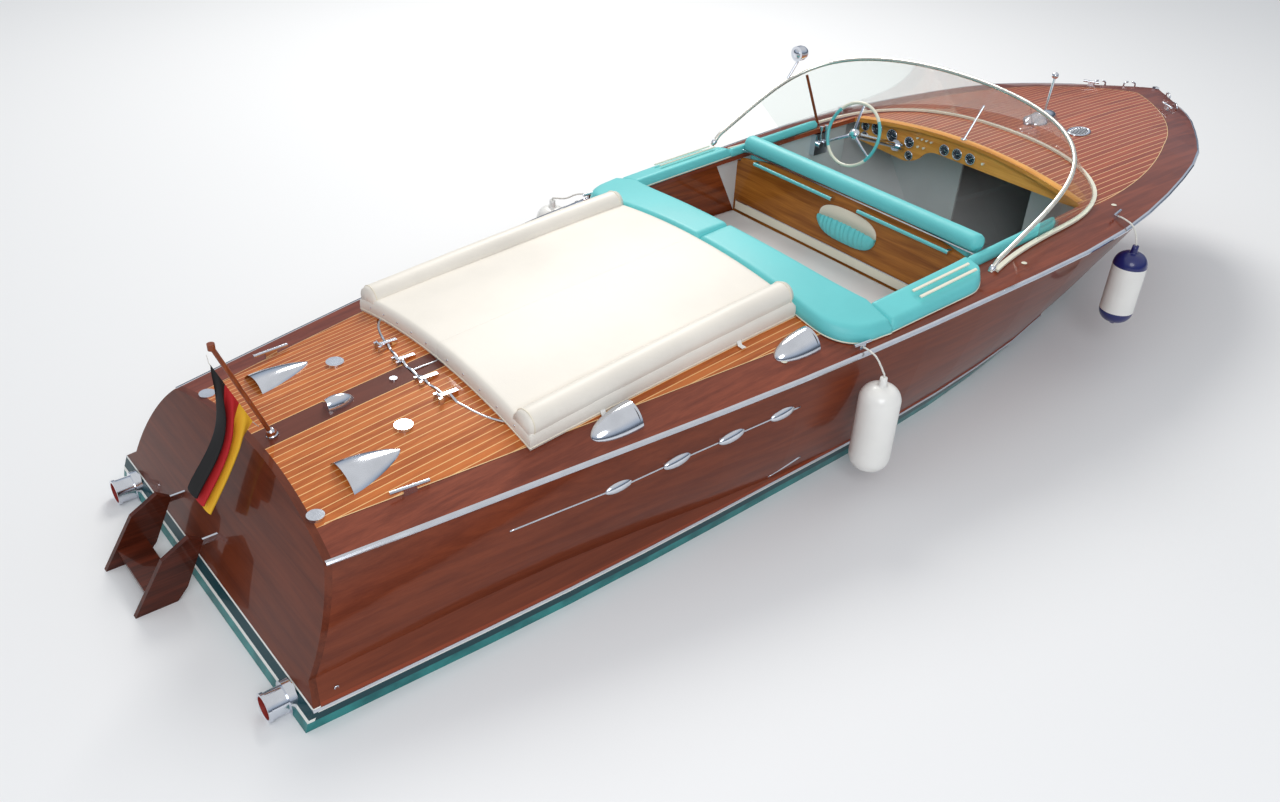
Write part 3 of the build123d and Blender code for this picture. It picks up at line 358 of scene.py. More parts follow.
class HeightMap:
    """Height of the deck over a plan grid, read once from the CAD decks."""

    def __init__(self, names, x0, x1, y1, step=0.05):
        trees = [skin_tree(name) for name in names]
        self.xs = np.arange(x0, x1 + step / 2, step)
        self.ys = np.arange(-y1, y1 + step / 2, step)
        self.z = np.full((len(self.xs), len(self.ys)), np.nan)
        for i, x in enumerate(self.xs):
            for j, y in enumerate(self.ys):
                tops = [spot.z for spot in met(trees, (x, y, 3), DOWN) if spot.z > 0.5]
                if tops:
                    self.z[i, j] = max(tops)
        for row in self.z:
            known = ~np.isnan(row)
            if known.sum() > 4:
                curve = np.polyfit(self.ys[known] ** 2, row[known], 2)
                row[~known] = np.polyval(curve, self.ys[~known] ** 2)

    def __call__(self, x, y):
        x = np.clip(np.asarray(x, float), self.xs[0], self.xs[-1] - 1e-6)
        y = np.clip(np.asarray(y, float), self.ys[0], self.ys[-1] - 1e-6)
        fx = (x - self.xs[0]) / (self.xs[1] - self.xs[0])
        fy = (y - self.ys[0]) / (self.ys[1] - self.ys[0])
        i, j = fx.astype(int), fy.astype(int)
        fx, fy = fx - i, fy - j
        near = self.z[i, j] * (1 - fx) + self.z[i + 1, j] * fx
        far = self.z[i, j + 1] * (1 - fx) + self.z[i + 1, j + 1] * fx
        return near * (1 - fy) + far * fy


deck = HeightMap(
    [
        "aft_deck", "foredeck", "hatch_port", "hatch_starboard",
        "covering_board_port", "covering_board_starboard",
    ],
    -3.85, 3.95, 1.25,
)


def on_deck(plan, lift):
    plan = np.asarray(plan, float)
    return np.column_stack([plan, deck(plan[:, 0], plan[:, 1]) + lift])


def add_mesh(name, verts, faces, finish, body=HULL, uv=None, smooth=True):
    faces = faces if isinstance(faces, list) else faces.tolist()
    mesh = bpy.data.meshes.new(name)
    mesh.from_pydata(np.asarray(verts, float).reshape(-1, 3).tolist(), [], faces)
    if uv is not None:
        layer = mesh.uv_layers.new(name="UVMap")
        loops = np.empty(len(mesh.loops), np.int32)
        mesh.loops.foreach_get("vertex_index", loops)
        layer.data.foreach_set("uv", np.asarray(uv, np.float32)[loops].ravel())
    mesh.materials.append(finish.material)
    mesh.polygons.foreach_set("use_smooth", np.full(len(mesh.polygons), smooth))
    mesh.update()
    made = bpy.data.objects.new(name, mesh)
    bpy.context.scene.collection.objects.link(made)
    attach(made, body)
    return made


def flip_outwards(made):
    """Turns every face the same way, outwards."""
    work = bmesh.new()
    work.from_mesh(made.data)
    bmesh.ops.recalc_face_normals(work, faces=work.faces)
    work.to_mesh(made.data)
    work.free()


def grid_faces(rows, cols, wrap=False):
    """Quads between neighbouring rows and columns of a grid of vertices."""
    i, j = np.meshgrid(np.arange(rows - 1), np.arange(cols if wrap else cols - 1), indexing="ij")
    k = (j + 1) % cols
    quads = np.stack([i * cols + j, i * cols + k, (i + 1) * cols + k, (i + 1) * cols + j], -1)
    return quads.reshape(-1, 4)


def barrel_faces(rows, cols, flip=False):
    """Quads between rings of vertices, and a flat face over each end."""
    ends = [list(range(cols))[::-1], list(range((rows - 1) * cols, rows * cols))]
    faces = grid_faces(rows, cols, True).tolist() + ends
    return [face[::-1] for face in faces] if flip else faces


def border(rows, cols):
    """Vertex numbers once round the edge of a grid."""
    index = np.arange(rows * cols).reshape(rows, cols)
    return np.concatenate([index[:, 0], index[-1, 1:], index[-2::-1, -1], index[0, -2:0:-1]])


def between(first, second):
    """Quads between two closed loops of vertex numbers."""
    return np.stack([first, second, np.roll(second, -1), np.roll(first, -1)], -1)


def closed_sheets(name, near, far, finish, slot):
    """Solid between two sheets of the same grid."""
    rows, cols = near.shape[:2]
    count = rows * cols
    quads = grid_faces(rows, cols)
    ring = border(rows, cols)
    verts = np.vstack([near.reshape(-1, 3), far.reshape(-1, 3)])
    faces = np.vstack([quads, quads + count, between(ring, ring + count)])
    made = add_mesh(name, verts, faces, finish, HULL)
    flip_outwards(made)
    return made


def circle(sides):
    """Cosines and sines at equal steps round a circle."""
    turn = np.linspace(0, 2 * np.pi, sides, endpoint=False)
    return np.cos(turn), np.sin(turn)


def unit(rows):
    return rows / np.linalg.norm(rows, axis=-1, keepdims=True)


def tube(name, path, radius, finish, body=HULL, sides=8, closed=False, up=UP, squash=1.0):
    """A circle of the given radius carried along the path, square to its direction."""
    path = np.asarray(path, float)
    n = len(path)
    radius = np.broadcast_to(np.asarray(radius, float), (n,))
    ahead = unit(np.roll(path, -1, 0) - np.roll(path, 1, 0) if closed else np.gradient(path, axis=0))
    side = unit(np.cross(ahead, np.asarray(up, float)))
    top = np.cross(side, ahead)
    cos, sin = circle(sides)
    ring = cos[None, :, None] * side[:, None] + squash * sin[None, :, None] * top[:, None]
    verts = path[:, None] + ring * radius[:, None, None]
    if closed:
        last, first = np.arange((n - 1) * sides, n * sides), np.arange(sides)
        faces = np.vstack([grid_faces(n, sides, True)[:, ::-1], between(last, first)])
    else:
        faces = barrel_faces(n, sides, True)
    return add_mesh(name, verts, faces, finish, body)


def lathe(name, profile, origin, axis, finish, body=HULL, sides=48):
    """Profile rows of (distance along the axis, radius) turned about the axis."""
    profile = np.asarray(profile, float)
    axis = unit(np.asarray(axis, float))
    helper = np.array([1.0, 0, 0]) if abs(axis[0]) < 0.9 else np.array([0, 1.0, 0])
    one = unit(np.cross(axis, helper))
    cos, sin = circle(sides)
    ring = cos[:, None] * one + sin[:, None] * np.cross(axis, one)
    verts = np.asarray(origin) + profile[:, 0][:, None, None] * axis + profile[:, 1][:, None, None] * ring
    return add_mesh(name, verts, barrel_faces(len(profile), sides), finish, body)


def rounded(points, radius, steps):
    """Open polyline with its inner corners rounded to the given radius."""
    points = [np.asarray(p, float) for p in points]
    out = [points[0]]
    t = np.linspace(0, 1, steps)[:, None]
    for a, b, c in zip(points, points[1:], points[2:]):
        back, on = np.linalg.norm(a - b), np.linalg.norm(c - b)
        reach = min(radius, 0.49 * back, 0.49 * on)
        start, end = b + (a - b) / back * reach, b + (c - b) / on * reach
        out.extend((1 - t) ** 2 * start + 2 * t * (1 - t) * b + t ** 2 * end)
    out.append(points[-1])
    return np.array(out)


def resample(path, count):
    """Points at equal steps along a polyline."""
    path = np.asarray(path, float)
    run = np.concatenate([[0], np.cumsum(np.linalg.norm(np.diff(path, axis=0), axis=1))])
    at = np.linspace(0, run[-1], count)
    return np.stack([np.interp(at, run, path[:, k]) for k in range(path.shape[1])], -1)


def arc(a, b, c, count):
    """Plan arc through three points."""
    a, b, c = (complex(*p) for p in (a, b, c))
    w = (c - a) / (b - a)
    centre = a + (b - a) * (w - abs(w) ** 2) / (2j * w.imag)
    turns = np.unwrap([math.atan2((p - centre).imag, (p - centre).real) for p in (a, b, c)])
    t = np.linspace(turns[0], turns[2], count)
    radius = abs(a - centre)
    return np.stack([centre.real + radius * np.cos(t), centre.imag + radius * np.sin(t)], -1)


def paint_faces(node, finish, pick):
    """Gives the faces that pick chooses by their centres and normals a second finish."""
    polygons = node.data.polygons
    centres = np.array([p.center[:] for p in polygons])
    normals = np.array([p.normal[:] for p in polygons])
    node.data.materials.append(finish.material)
    index = np.zeros(len(polygons), np.int32)
    polygons.foreach_get("material_index", index)
    index[pick(centres, normals)] = len(node.data.materials) - 1
    polygons.foreach_set("material_index", index)


# Second finishes on CAD nodes
def inner_skin(c, n):
    """The hull's faces that look at the centreline."""
    return np.sign(c[:, 1]) * n[:, 1] < -0.15


def hinge_faces(c, n):
    """The hinges' leaves let into the hatch, and their knuckles above the deck."""
    leaf = (c[:, 0] < -2.777) & (np.abs(np.abs(np.abs(c[:, 1]) - 0.2) - 0.09) < 0.0135)
    return leaf & ((c[:, 0] < -2.862) | (c[:, 2] > deck(c[:, 0], c[:, 1]) + 0.0008))


def exhaust_bores(c, n):
    return (np.hypot(np.abs(c[:, 1]) - 0.895, c[:, 2] - 0.058) < 0.0545) & (c[:, 0] < -4.0)


SECOND = [
    ("topside_port", pale_panel, inner_skin),
    ("topside_starboard", pale_panel, inner_skin),
    ("hull_bottom", pale_panel, inner_skin),
    ("transom", bare_wood, lambda c, n: n[:, 0] > 0.3),
    ("bulkheads", pale_panel, lambda c, n: c[:, 0] > 1.0),
    ("windshield_stays", staff_wood, lambda c, n: c[:, 1] > 0.9),
    ("dash_instruments", ivory, lambda c, n: c[:, 0] < 1.5005),
    ("grab_rails", chrome, lambda c, n: (np.abs(np.abs(c[:, 1]) - 0.460) > 0.312) | (c[:, 0] > 0.2775)),
    ("hatch_port", chrome, hinge_faces),
    ("hatch_starboard", chrome, hinge_faces),
    ("boarding_ladder", chrome, lambda c, n: (c[:, 0] > -4.059) & (np.abs(c[:, 2] - 0.27) < 0.0155)),
    ("foredeck", dash_wood, lambda c, n: (c[:, 0] < 1.52) & (np.abs(c[:, 1]) < 0.955) & (n[:, 0] < -0.5)),
    ("exhausts", red_inside, exhaust_bores),
    ("cockpit_liners", pale_panel, lambda c, n: (c[:, 0] > 0.31) & (c[:, 2] < 0.80)),
]
for name, finish, pick in SECOND:
    paint_faces(NODES[name], finish, pick)


# Pads and cushions
WALL_SHARES = (0.2, 0.4, 0.6, 0.8)
PAD_CLEAR = 0.0005


def eased(count, share):
    """Steps from 0 to 1, closer at both ends by the given share."""
    t = np.linspace(0, 1, count)
    return share * (0.5 - 0.5 * np.cos(np.pi * t)) + (1 - share) * t


def cushion(name, inner, outer, thick, finish, edge, across, along, body=HULL, base=deck,
            bulge=0.004, crown=0.0, relief=None, butt=1.0):
    """Pad between two plan curves, its top rounded near all four edges and its walls swollen outwards.

    With a butt over 1 the inner edge stays sharp, where the pad meets its twin at the centreline.
    Gives the piece, the rim of its top and the direction outwards at each point of the rim.
    """
    inner, outer = resample(inner, along), resample(outer, along)
    width = np.linalg.norm(outer - inner, axis=1).mean()
    length = np.linalg.norm(np.diff((inner + outer) / 2, axis=0), axis=1).sum()
    u, v = eased(across, 0.5), eased(along, 0.35)
    steps, rows = v * (along - 1), np.arange(along)
    inner, outer = (
        np.stack([np.interp(steps, rows, line[:, k]) for k in range(2)], -1) for line in (inner, outer)
    )
    plan = inner[:, None] * (1 - u)[None, :, None] + outer[:, None] * u[None, :, None]
    floor = base(plan[..., 0], plan[..., 1])
    qu = np.clip(1 - np.minimum(u, 1 - u) * width / edge, 0, 1) / np.where(u < 0.5, butt, 1.0)
    qv = np.clip(1 - np.minimum(v, 1 - v) * length / edge, 0, 1)
    q = np.clip(np.sqrt(qu[None, :] ** 2 + qv[:, None] ** 2), 0, 1)
    height = thick - edge * (1 - np.sqrt(1 - q ** 2))
    height = height + crown * np.sin(np.pi * u)[None, :] * np.sin(np.pi * v)[:, None]
    if relief is not None:
        height = height + relief(plan[..., 0], plan[..., 1], u)
    top = np.dstack([plan, floor + height]).reshape(-1, 3)
    low = np.dstack([plan, floor + PAD_CLEAR]).reshape(-1, 3)
    ring = border(along, across)
    rim, foot = top[ring], low[ring]
    run = np.roll(rim[:, :2], -1, 0) - np.roll(rim[:, :2], 1, 0)
    out = np.stack([run[:, 1], -run[:, 0]], -1)
    out /= np.linalg.norm(out, axis=1)[:, None] + 1e-12
    if np.sum(out * (rim[:, :2] - plan.reshape(-1, 2).mean(0))) < 0:
        out = -out
    swell = np.where(np.abs(rim[:, 1]) < 0.01, 0, bulge)
    walls = []
    for t in WALL_SHARES:
        wall = rim * (1 - t) + foot * t
        wall[:, :2] += out * (swell * math.sin(math.pi * t))[:, None]
        walls.append(wall)
    count = along * across
    loops = [2 * count + k * len(ring) + np.arange(len(ring)) for k in range(len(walls))]
    loops = [ring, *loops, ring + count]
    quads = grid_faces(along, across)
    faces = [quads, (quads + count)[:, ::-1]] + [between(a, b) for a, b in zip(loops, loops[1:])]
    made = add_mesh(name, np.vstack([top, low, *walls]), np.vstack(faces), finish, body)
    flip_outwards(made)
    if butt > 1:
        made.data.set_sharp_from_angle(angle=1.2)
    return made, rim, out


def welt(name, rim, out, push, lift, radius, body=HULL, closed=True):
    """Piping on the deck round the foot of a pad."""
    ring = rim.copy()
    ring[:, :2] += out * push
    ring[:, 2] = deck(ring[:, 0], ring[:, 1]) + lift
    tube(name, ring, radius, piping_cream, body, closed=closed)


def folds(seed, size):
    """Sum of a few long shallow waves in fixed directions."""
    waves = 9
    pick = np.random.default_rng(seed)
    turn = pick.uniform(0, math.pi, waves)
    pitch = pick.uniform(3.0, 9.0, waves) / 1.4
    phase = pick.uniform(0, 2 * math.pi, waves)

    def relief(x, y, u):
        total = 0
        for t, p, f in zip(turn, pitch, phase):
            total = total + np.sin((x * math.cos(t) + y * math.sin(t)) * p + f)
        return size * total / math.sqrt(waves)
    return relief


# Sun pads, one half on each hatch leaf
PAD_AFT, PAD_FORE, PAD_SIDE = -2.712, -1.010, 0.803
PAD_GAP, PAD_THICK, PAD_EDGE = 0.0004, 0.090, 0.022
PAD_ROWS, PAD_COLS = 90, 44
CREASE_SHARE, CREASE_DEPTH, CREASE_HALF = 0.818, 0.006, 0.008
BOLSTER_ROWS, BOLSTER_SIDES = 70, 40
BOLSTER_HALF_Y, BOLSTER_HALF_Z, BOLSTER_RISE = 0.0735, 0.0665, 0.084
STUD_FIRST, STUD_STEP, STUD_RISE = 0.10, 0.145, 0.045
TAB_X = (-2.30, -1.42)
STUD = [(0, 0.0005), (0, 0.007), (0.003, 0.006), (0.0042, 0.0005)]
STRAP = [
    (-0.014, 0, 0.022), (0.014, 0, 0.022), (0.014, 0.012, 0), (-0.014, 0.012, 0),
    (0.014, 0.045, 0), (-0.014, 0.045, 0),
]


def sun_relief(seed):
    """Shallow folds that fade at the edges, and the crease along the bolster."""
    soft = folds(seed, 0.0016)

    def relief(x, y, u):
        crease = -CREASE_DEPTH * np.exp(-((u - CREASE_SHARE) * PAD_SIDE / CREASE_HALF) ** 2)
        return soft(x, y, u) * np.clip(np.minimum(u * 3, 1 - u) * 8, 0, 1) + crease
    return relief


def sun_bolster(side, word, body):
    """A full roll on the outer edge, closed by a flat oval panel at each end."""
    length = PAD_FORE - PAD_AFT
    t = np.linspace(0, 1, BOLSTER_ROWS)
    x = PAD_AFT + 0.003 + t * (length - 0.006)
    roll_y = side * (PAD_SIDE - 0.074 - 0.012 * t)
    middle = deck(x, roll_y) + BOLSTER_RISE + 0.012 * t
    ends = np.clip(np.minimum(t, 1 - t) * length / 0.012, 0, 1)
    girth = (1 - 0.10 * (1 - ends) ** 2) * (1 + 0.010 * np.sin(t * 31) * np.sin(t * 13 + 1))
    cos, sin = circle(BOLSTER_SIDES)
    ring_y = roll_y[:, None] + side * BOLSTER_HALF_Y * cos[None, :] * girth[:, None]
    ring_z = middle[:, None] + BOLSTER_HALF_Z * sin[None, :] * girth[:, None]
    verts = np.dstack([np.broadcast_to(x[:, None], ring_y.shape), ring_y, ring_z])
    faces = barrel_faces(BOLSTER_ROWS, BOLSTER_SIDES)
    bolster = add_mesh("sun_bolster_" + word, verts, faces, cream, body)
    flip_outwards(bolster)
    for row, tag in ((1, "aft"), (BOLSTER_ROWS - 2, "fore")):
        name = "sun_bolster_welt_%s_%s" % (tag, word)
        tube(name, verts[row], 0.0035, piping_cream, body, closed=True, up=(1, 0, 0.01))


for side, word in SIDES:
    body = "hatch_leaf_" + word
    pad, rim, out = cushion(
        "sun_pad_cover_" + word, [(PAD_AFT, side * PAD_GAP), (PAD_FORE, side * PAD_GAP)],
        [(PAD_AFT, side * PAD_SIDE), (PAD_FORE, side * PAD_SIDE)], PAD_THICK, cream,
        PAD_EDGE, PAD_COLS, PAD_ROWS, body, relief=sun_relief(11 if side > 0 else 12), butt=18.0,
    )
    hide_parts("sun_pad_" + word)
    sun_bolster(side, word, body)
    # The welt leaves out the inner edge, where the two halves meet
    free = np.r_[PAD_ROWS - 1:len(rim), 0]
    welt("sun_pad_welt_" + word, rim[free], out[free], 0.003, 0.014, 0.003, body, False)
    for k in range(5):
        y = side * (STUD_FIRST + STUD_STEP * k)
        place = (PAD_AFT - 0.0015, y, float(deck(PAD_AFT, y)) + STUD_RISE)
        lathe("sun_pad_stud_%s_%d" % (word, k + 1), STUD, place, (-1, 0, 0), chrome, body, 16)
    for k, x in enumerate(TAB_X):
        y = side * (PAD_SIDE + 0.004)
        foot = np.array([x, y, float(deck(x, y)) + 0.004])
        strap = foot + np.array(STRAP) * [1, side, 1]
        faces = [(0, 1, 2, 3), (3, 2, 4, 5)]
        name = "sun_pad_tab_%s_%d" % (word, k + 1)
        tab = add_mesh(name, strap, faces, white_plastic, body, smooth=False)
        tab.modifiers.new("wall", "SOLIDIFY").thickness = 0.0015

# Cockpit coaming pads
AFT_X, INNER_Y = -0.996, 0.982
for side, word in SIDES:
    inner = arc((-0.748, side * 0.002), (-0.722, side * 0.5), (-0.642, side * INNER_Y), 30)
    outer = np.vstack([
        [(AFT_X, side * 0.002), (AFT_X, side * 0.60), (AFT_X + 0.001, side * 0.90)],
        arc((AFT_X + 0.003, side * 0.925), (-0.935, side * 1.075), (-0.800, side * 1.150), 16),
        [(-0.72, side * 1.158), (-0.642, side * 1.168)],
    ])
    pad, rim, out = cushion(
        "coaming_cover_" + word, inner, outer, 0.086, turquoise, 0.034, 22, 70,
        bulge=0.006, crown=0.004, relief=folds(21 + side, 0.001),
    )
    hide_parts("coaming_pad_" + word)
    welt("coaming_welt_" + word, rim, out, 0.004, 0.010, 0.004)

for side, word in SIDES:
    inner = [(-0.632, side * 0.986), (0.200, side * 0.986)]
    outer = np.vstack([
        [(-0.632, side * 1.164), (0.00, side * 1.181)],
        arc((0.05, side * 1.180), (0.135, side * 1.148), (0.197, side * 1.090), 8),
    ])
    pad, rim, out = cushion(
        "side_pad_cover_" + word, inner, outer, 0.072, turquoise, 0.030, 20, 50,
        bulge=0.005, relief=folds(31 + side, 0.0008),
    )
    welt("side_pad_welt_" + word, rim, out, 0.004, 0.010, 0.0035)
    inner = [(0.206, side * 0.986), (1.055, side * 0.986)]
    outer = [(0.206, side * 1.032), (1.00, side * 1.032), (1.055, side * 1.012)]
    name = "fore_pad_cover_" + word
    pad = cushion(name, inner, outer, 0.060, turquoise, 0.021, 12, 50)[0]
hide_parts("side_pads")

# Backrest roll, flattened where it lies on the bench
low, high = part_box("backrest_roll")
ROLL_RADIUS = 0.0605
ROLL_ROWS, ROLL_SIDES = 120, 48
BACK_FRONT_X, BACK_TOP, CUSHION_TOP = 0.3225, 0.9755, 0.9508
roll_x, roll_z = (low[0] + high[0]) / 2, high[2] - 0.060
half = (high[1] - low[1]) / 2
t = np.linspace(-1, 1, ROLL_ROWS)
ends = np.clip((1 - np.abs(t)) * half / 0.04, 0, 1)
wave = 1 + 0.007 * np.sin(t * 40) * np.sin(t * 17)
radius = ROLL_RADIUS * (0.3 + 0.7 * np.sqrt(1 - (1 - ends) ** 2)) * wave
cos, sin = circle(ROLL_SIDES)
ring = np.stack([cos, np.zeros(ROLL_SIDES), sin], -1)
middle = np.stack([np.full(ROLL_ROWS, roll_x), t * half, np.full(ROLL_ROWS, roll_z)], -1)
verts = middle[:, None] + ring[None] * radius[:, None, None]
verts[..., 2] = np.maximum(verts[..., 2], np.where(verts[..., 0] < BACK_FRONT_X, BACK_TOP, CUSHION_TOP))
faces = barrel_faces(ROLL_ROWS, ROLL_SIDES)
roll = add_mesh("backrest_roll_cover", verts, faces, turquoise, HULL)
flip_outwards(roll)
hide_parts("backrest_roll")

# Bench cushions with sewn channels
CHANNEL = 0.16


def flat_base(z):
    return lambda x, y: np.full_like(x, z)


def channel(y):
    """1 in a seam between two channels, falling to 0 beside it."""
    return np.exp(-(np.abs((y / CHANNEL) % 1 - 0.5) - 0.5) ** 2 / 0.004)


def upright(name, x0, x1, y1, z0, z1, finish, slot):
    """Backrest cushion, its face rounded forward."""
    z = np.linspace(0, 1, 26)
    y = np.linspace(-1, 1, 90)
    face = (1 - np.abs(2 * z - 1) ** 6)[:, None] * (1 - np.abs(y) ** 24)[None, :]
    front = x0 + 0.02 + (x1 - x0 - 0.02) * (0.35 + 0.65 * face) - 0.012 * channel(y * y1)[None, :]
    yy, zz = np.broadcast_arrays((y * y1)[None, :], (z0 + z * (z1 - z0))[:, None])
    far = np.dstack([np.full_like(front, x0 + 0.001), yy, zz])
    closed_sheets(name, np.dstack([front, yy, zz]), far, finish, slot)


seat = cushion(
    "front_bench_seat", [(0.413, -0.912), (0.413, 0.912)], [(0.838, -0.912), (0.838, 0.912)], 0.097,
    turquoise, 0.035, 20, 100, base=flat_base(0.3305), crown=0.004,
    relief=lambda x, y, u: -0.01 * channel(y),
)[0]
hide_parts("front_bench_cushion")
upright("front_bench_back", 0.3245, 0.409, 0.912, 0.3315, 0.948, turquoise, "turquoise_vinyl")

lounge = cushion(
    "rear_lounge_seat", [(-0.643, -0.998), (-0.643, 0.998)], [(0.284, -0.998), (0.284, 0.998)], 0.066,
    white_vinyl, 0.022, 40, 90, base=flat_base(0.4605), crown=0.003, relief=folds(41, 0.0018),
)[0]
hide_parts("rear_bench_cushion")
upright("rear_lounge_back", -0.774, -0.646, 0.972, 0.462, 0.838, white_vinyl, "cream_vinyl")

# Skirting and edge strips on the back of the bench
BACK_FACE = float(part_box("bench_back")[0][0])


def back_strip(name, stand, half, z0, z1, finish):
    """Bar across the bench back with its edges taken off by a small bevel."""
    low, high = (BACK_FACE - stand, -half, z0), (BACK_FACE - 0.0003, half, z1)
    verts = [(x, y, z) for x in (low[0], high[0]) for y in (-half, half) for z in (z0, z1)]
    faces = [(0, 1, 3, 2), (4, 6, 7, 5), (0, 4, 5, 1), (2, 3, 7, 6), (0, 2, 6, 4), (1, 5, 7, 3)]
    made = add_mesh(name, verts, faces, finish, smooth=False)
    flip_outwards(made)
    edge = made.modifiers.new("edge", "BEVEL")
    edge.width = 0.15 * min(abs(b - a) for a, b in zip(low, high))
    edge.segments = 2


back_strip("bench_skirting", 0.0085, 0.985, 0.5305, 0.592, ivory)
back_strip("bench_skirting_strip", 0.0105, 0.985, 0.5925, 0.5995, chrome)
back_strip("bench_edge_strip", 0.0040, 0.972, 0.9635, 0.9725, chrome)

# Gathered pocket on the bench back
POCKET_COLS, POCKET_ROWS, LINING_SIDES = 120, 30, 90
low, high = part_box("bench_pocket")
centre_y, centre_z = (low[1] + high[1]) / 2, (low[2] + high[2]) / 2
half_y, half_z, depth = (high[1] - low[1]) / 2, (high[2] - low[2]) / 2, high[0] - low[0]
U, V = np.meshgrid(np.linspace(-1, 1, POCKET_COLS), np.linspace(0, 1, POCKET_ROWS), indexing="ij")
side_fall = (1 - np.abs(U) ** 3.2) ** (1 / 2.4)
floor_line = centre_z - 0.98 * half_z * side_fall
hem_line = centre_z + 0.22 * half_z * (1 - U ** 2) ** 0.5 + 0.02 * half_z
pz = floor_line + (hem_line - floor_line) * V
py = centre_y + 0.985 * half_y * U
belly = side_fall ** 0.6 * np.sin(np.pi * (0.06 + 0.70 * V)) ** 0.7
pleat = np.sin(U * 40 + 0.9 * np.sin(U * 11) + 0.6 * V) * (0.25 + 0.75 * V) * 0.0048 * side_fall
px = np.clip(high[0] - 0.001 - 0.80 * depth * belly - pleat, low[0] + 0.001, high[0] - 0.0006)
cloth = np.dstack([px, py, pz])
faces = grid_faces(POCKET_COLS, POCKET_ROWS)
pocket = add_mesh("bench_pocket_cover", cloth, faces, turquoise, HULL)
wall = pocket.modifiers.new("wall", "SOLIDIFY")
wall.thickness = 0.003
wall.offset = 1
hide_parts("bench_pocket")
tube("bench_pocket_hem", cloth[3:-3, -1], 0.0042, turquoise)
cos, sin = circle(LINING_SIDES)
SQUARE = 2 / 2.6
rim_y = centre_y + 0.985 * half_y * np.sign(cos) * np.abs(cos) ** SQUARE
rim_z = centre_z + 0.98 * half_z * np.sign(sin) * np.abs(sin) ** SQUARE
lining = [np.stack([np.full_like(cos, x), rim_y, rim_z], -1) for x in (high[0] - 0.0002, high[0] - 0.004)]
faces = barrel_faces(2, LINING_SIDES)
slab = add_mesh("bench_pocket_lining", lining, faces, piping_cream, HULL, smooth=False)
flip_outwards(slab)

# Fenders with moulded eyes: place, size, radius, and the cleat that holds the lanyard
FENDERS = [
    (-0.880, -1.345, 0.430, 0.560, 0.112, (-0.868, -1.165)),
    (1.500, -1.345, 0.560, 0.520, 0.105, (1.537, -1.150)),
    (-1.040, 1.345, 0.490, 0.520, 0.105, (-0.868, 1.165)),
]
NAVY_TIPPED = 2


def fender_profile(size, radius):
    """Straight barrel between two domes, a neck and a flat eye at each end."""
    t = np.linspace(0, 1, 14) * np.pi / 2
    rise = -size / 2 + 0.02 + radius * 0.8 * (1 - np.cos(t))
    dome = np.stack([rise, 0.022 + (radius - 0.022) * np.sin(t) ** 0.9], -1)
    half = size / 2
    low = [(-half, 0.001), (-half, 0.014), (-half + 0.012, 0.018)]
    high = [(half - 0.012, 0.022), (half + 0.006, 0.020), (half + 0.028, 0.019), (half + 0.0295, 0.001)]
    return np.vstack([low, dome, dome[::-1] * [-1, 1], high])


fenders = []
for k, (x, y, z, size, radius, _) in enumerate(FENDERS, 1):
    profile = fender_profile(size, radius)
    fenders.append(lathe("fender_%d" % k, profile, (x, y, z), UP, white_plastic))
    if k == NAVY_TIPPED:
        paint_faces(fenders[-1], navy, lambda c, n: np.abs(c[:, 2] - z) > size / 2 - 0.105)
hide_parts("fenders")

LANYARD_RADIUS = 0.0058
ROPE_SIDES, ROPE_STRANDS, ROPE_TWIST = 18, 3, 60.0


def rope(name, path, radius):
    """Laid rope: three strands wound in a helix round the path, drawn as one fluted tube."""
    length = np.linalg.norm(np.diff(path, axis=0), axis=1).sum()
    path = resample(path, max(40, int(length / (radius * 0.7))))
    ahead = unit(np.gradient(path, axis=0))
    side = unit(np.cross(ahead, [0.31, 0.2, 0.93]))
    top = np.cross(side, ahead)
    run = np.concatenate([[0], np.cumsum(np.linalg.norm(np.diff(path, axis=0), axis=1))])
    cos, sin = circle(ROPE_SIDES)
    angle = np.linspace(0, 2 * np.pi, ROPE_SIDES, endpoint=False)[None, :]
    flute = 1 - 0.16 * np.abs(np.sin(ROPE_STRANDS / 2 * (angle + run[:, None] * ROPE_TWIST)))
    ring = cos[None, :, None] * side[:, None] + sin[None, :, None] * top[:, None]
    verts = path[:, None] + radius * flute[..., None] * ring
    return add_mesh(name, verts, barrel_faces(len(path), ROPE_SIDES, True), white_cord, HULL)


for k, (x, y, z, size, _, (cx, cy)) in enumerate(FENDERS, 1):
    side = 1 if y > 0 else -1
    mid = (x + cx) / 2
    edge = float(deck(mid, side * 1.2))
    top = z + size / 2 + 0.030
    foot = float(deck(cx, cy)) + 0.017
    points = [
        (x, y, top), (x, y, top + 0.014), (mid, side * 1.310, edge - 0.020),
        (mid + (cx - x) / 4, side * 1.268, edge + 0.018),
        (cx, cy + side * 0.040, foot), (cx, cy + side * 0.010, foot),
    ]
    rope("fender_lanyard_%d" % k, rounded(points, 0.05, 8), LANYARD_RADIUS)
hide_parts("fender_lanyards")

# Flag: a cloth gathered at the staff, hanging in deep folds
flag_finish = Finish("flag cloth", Roughness=0.75)
uvw = flag_finish.node("ShaderNodeUVMap", {"uv_map": "UVMap"})
across = flag_finish.split(uvw)[1]
bands = flag_finish.mix(srgb(22, 21, 22), srgb(190, 26, 32), across > 1 / 3)
bands = flag_finish.mix(bands, srgb(238, 184, 40), across > 2 / 3)
weave = flag_finish.noise(uvw, 1.0, 1.0, factors=(900, 900, 1))
flag_finish.set(Base_Color=flag_finish.shade(bands, weave.ramp(0.2, 0.8) * 0.2 + 0.85))
flag_finish.bump(weave, 0.15, 0.0006)

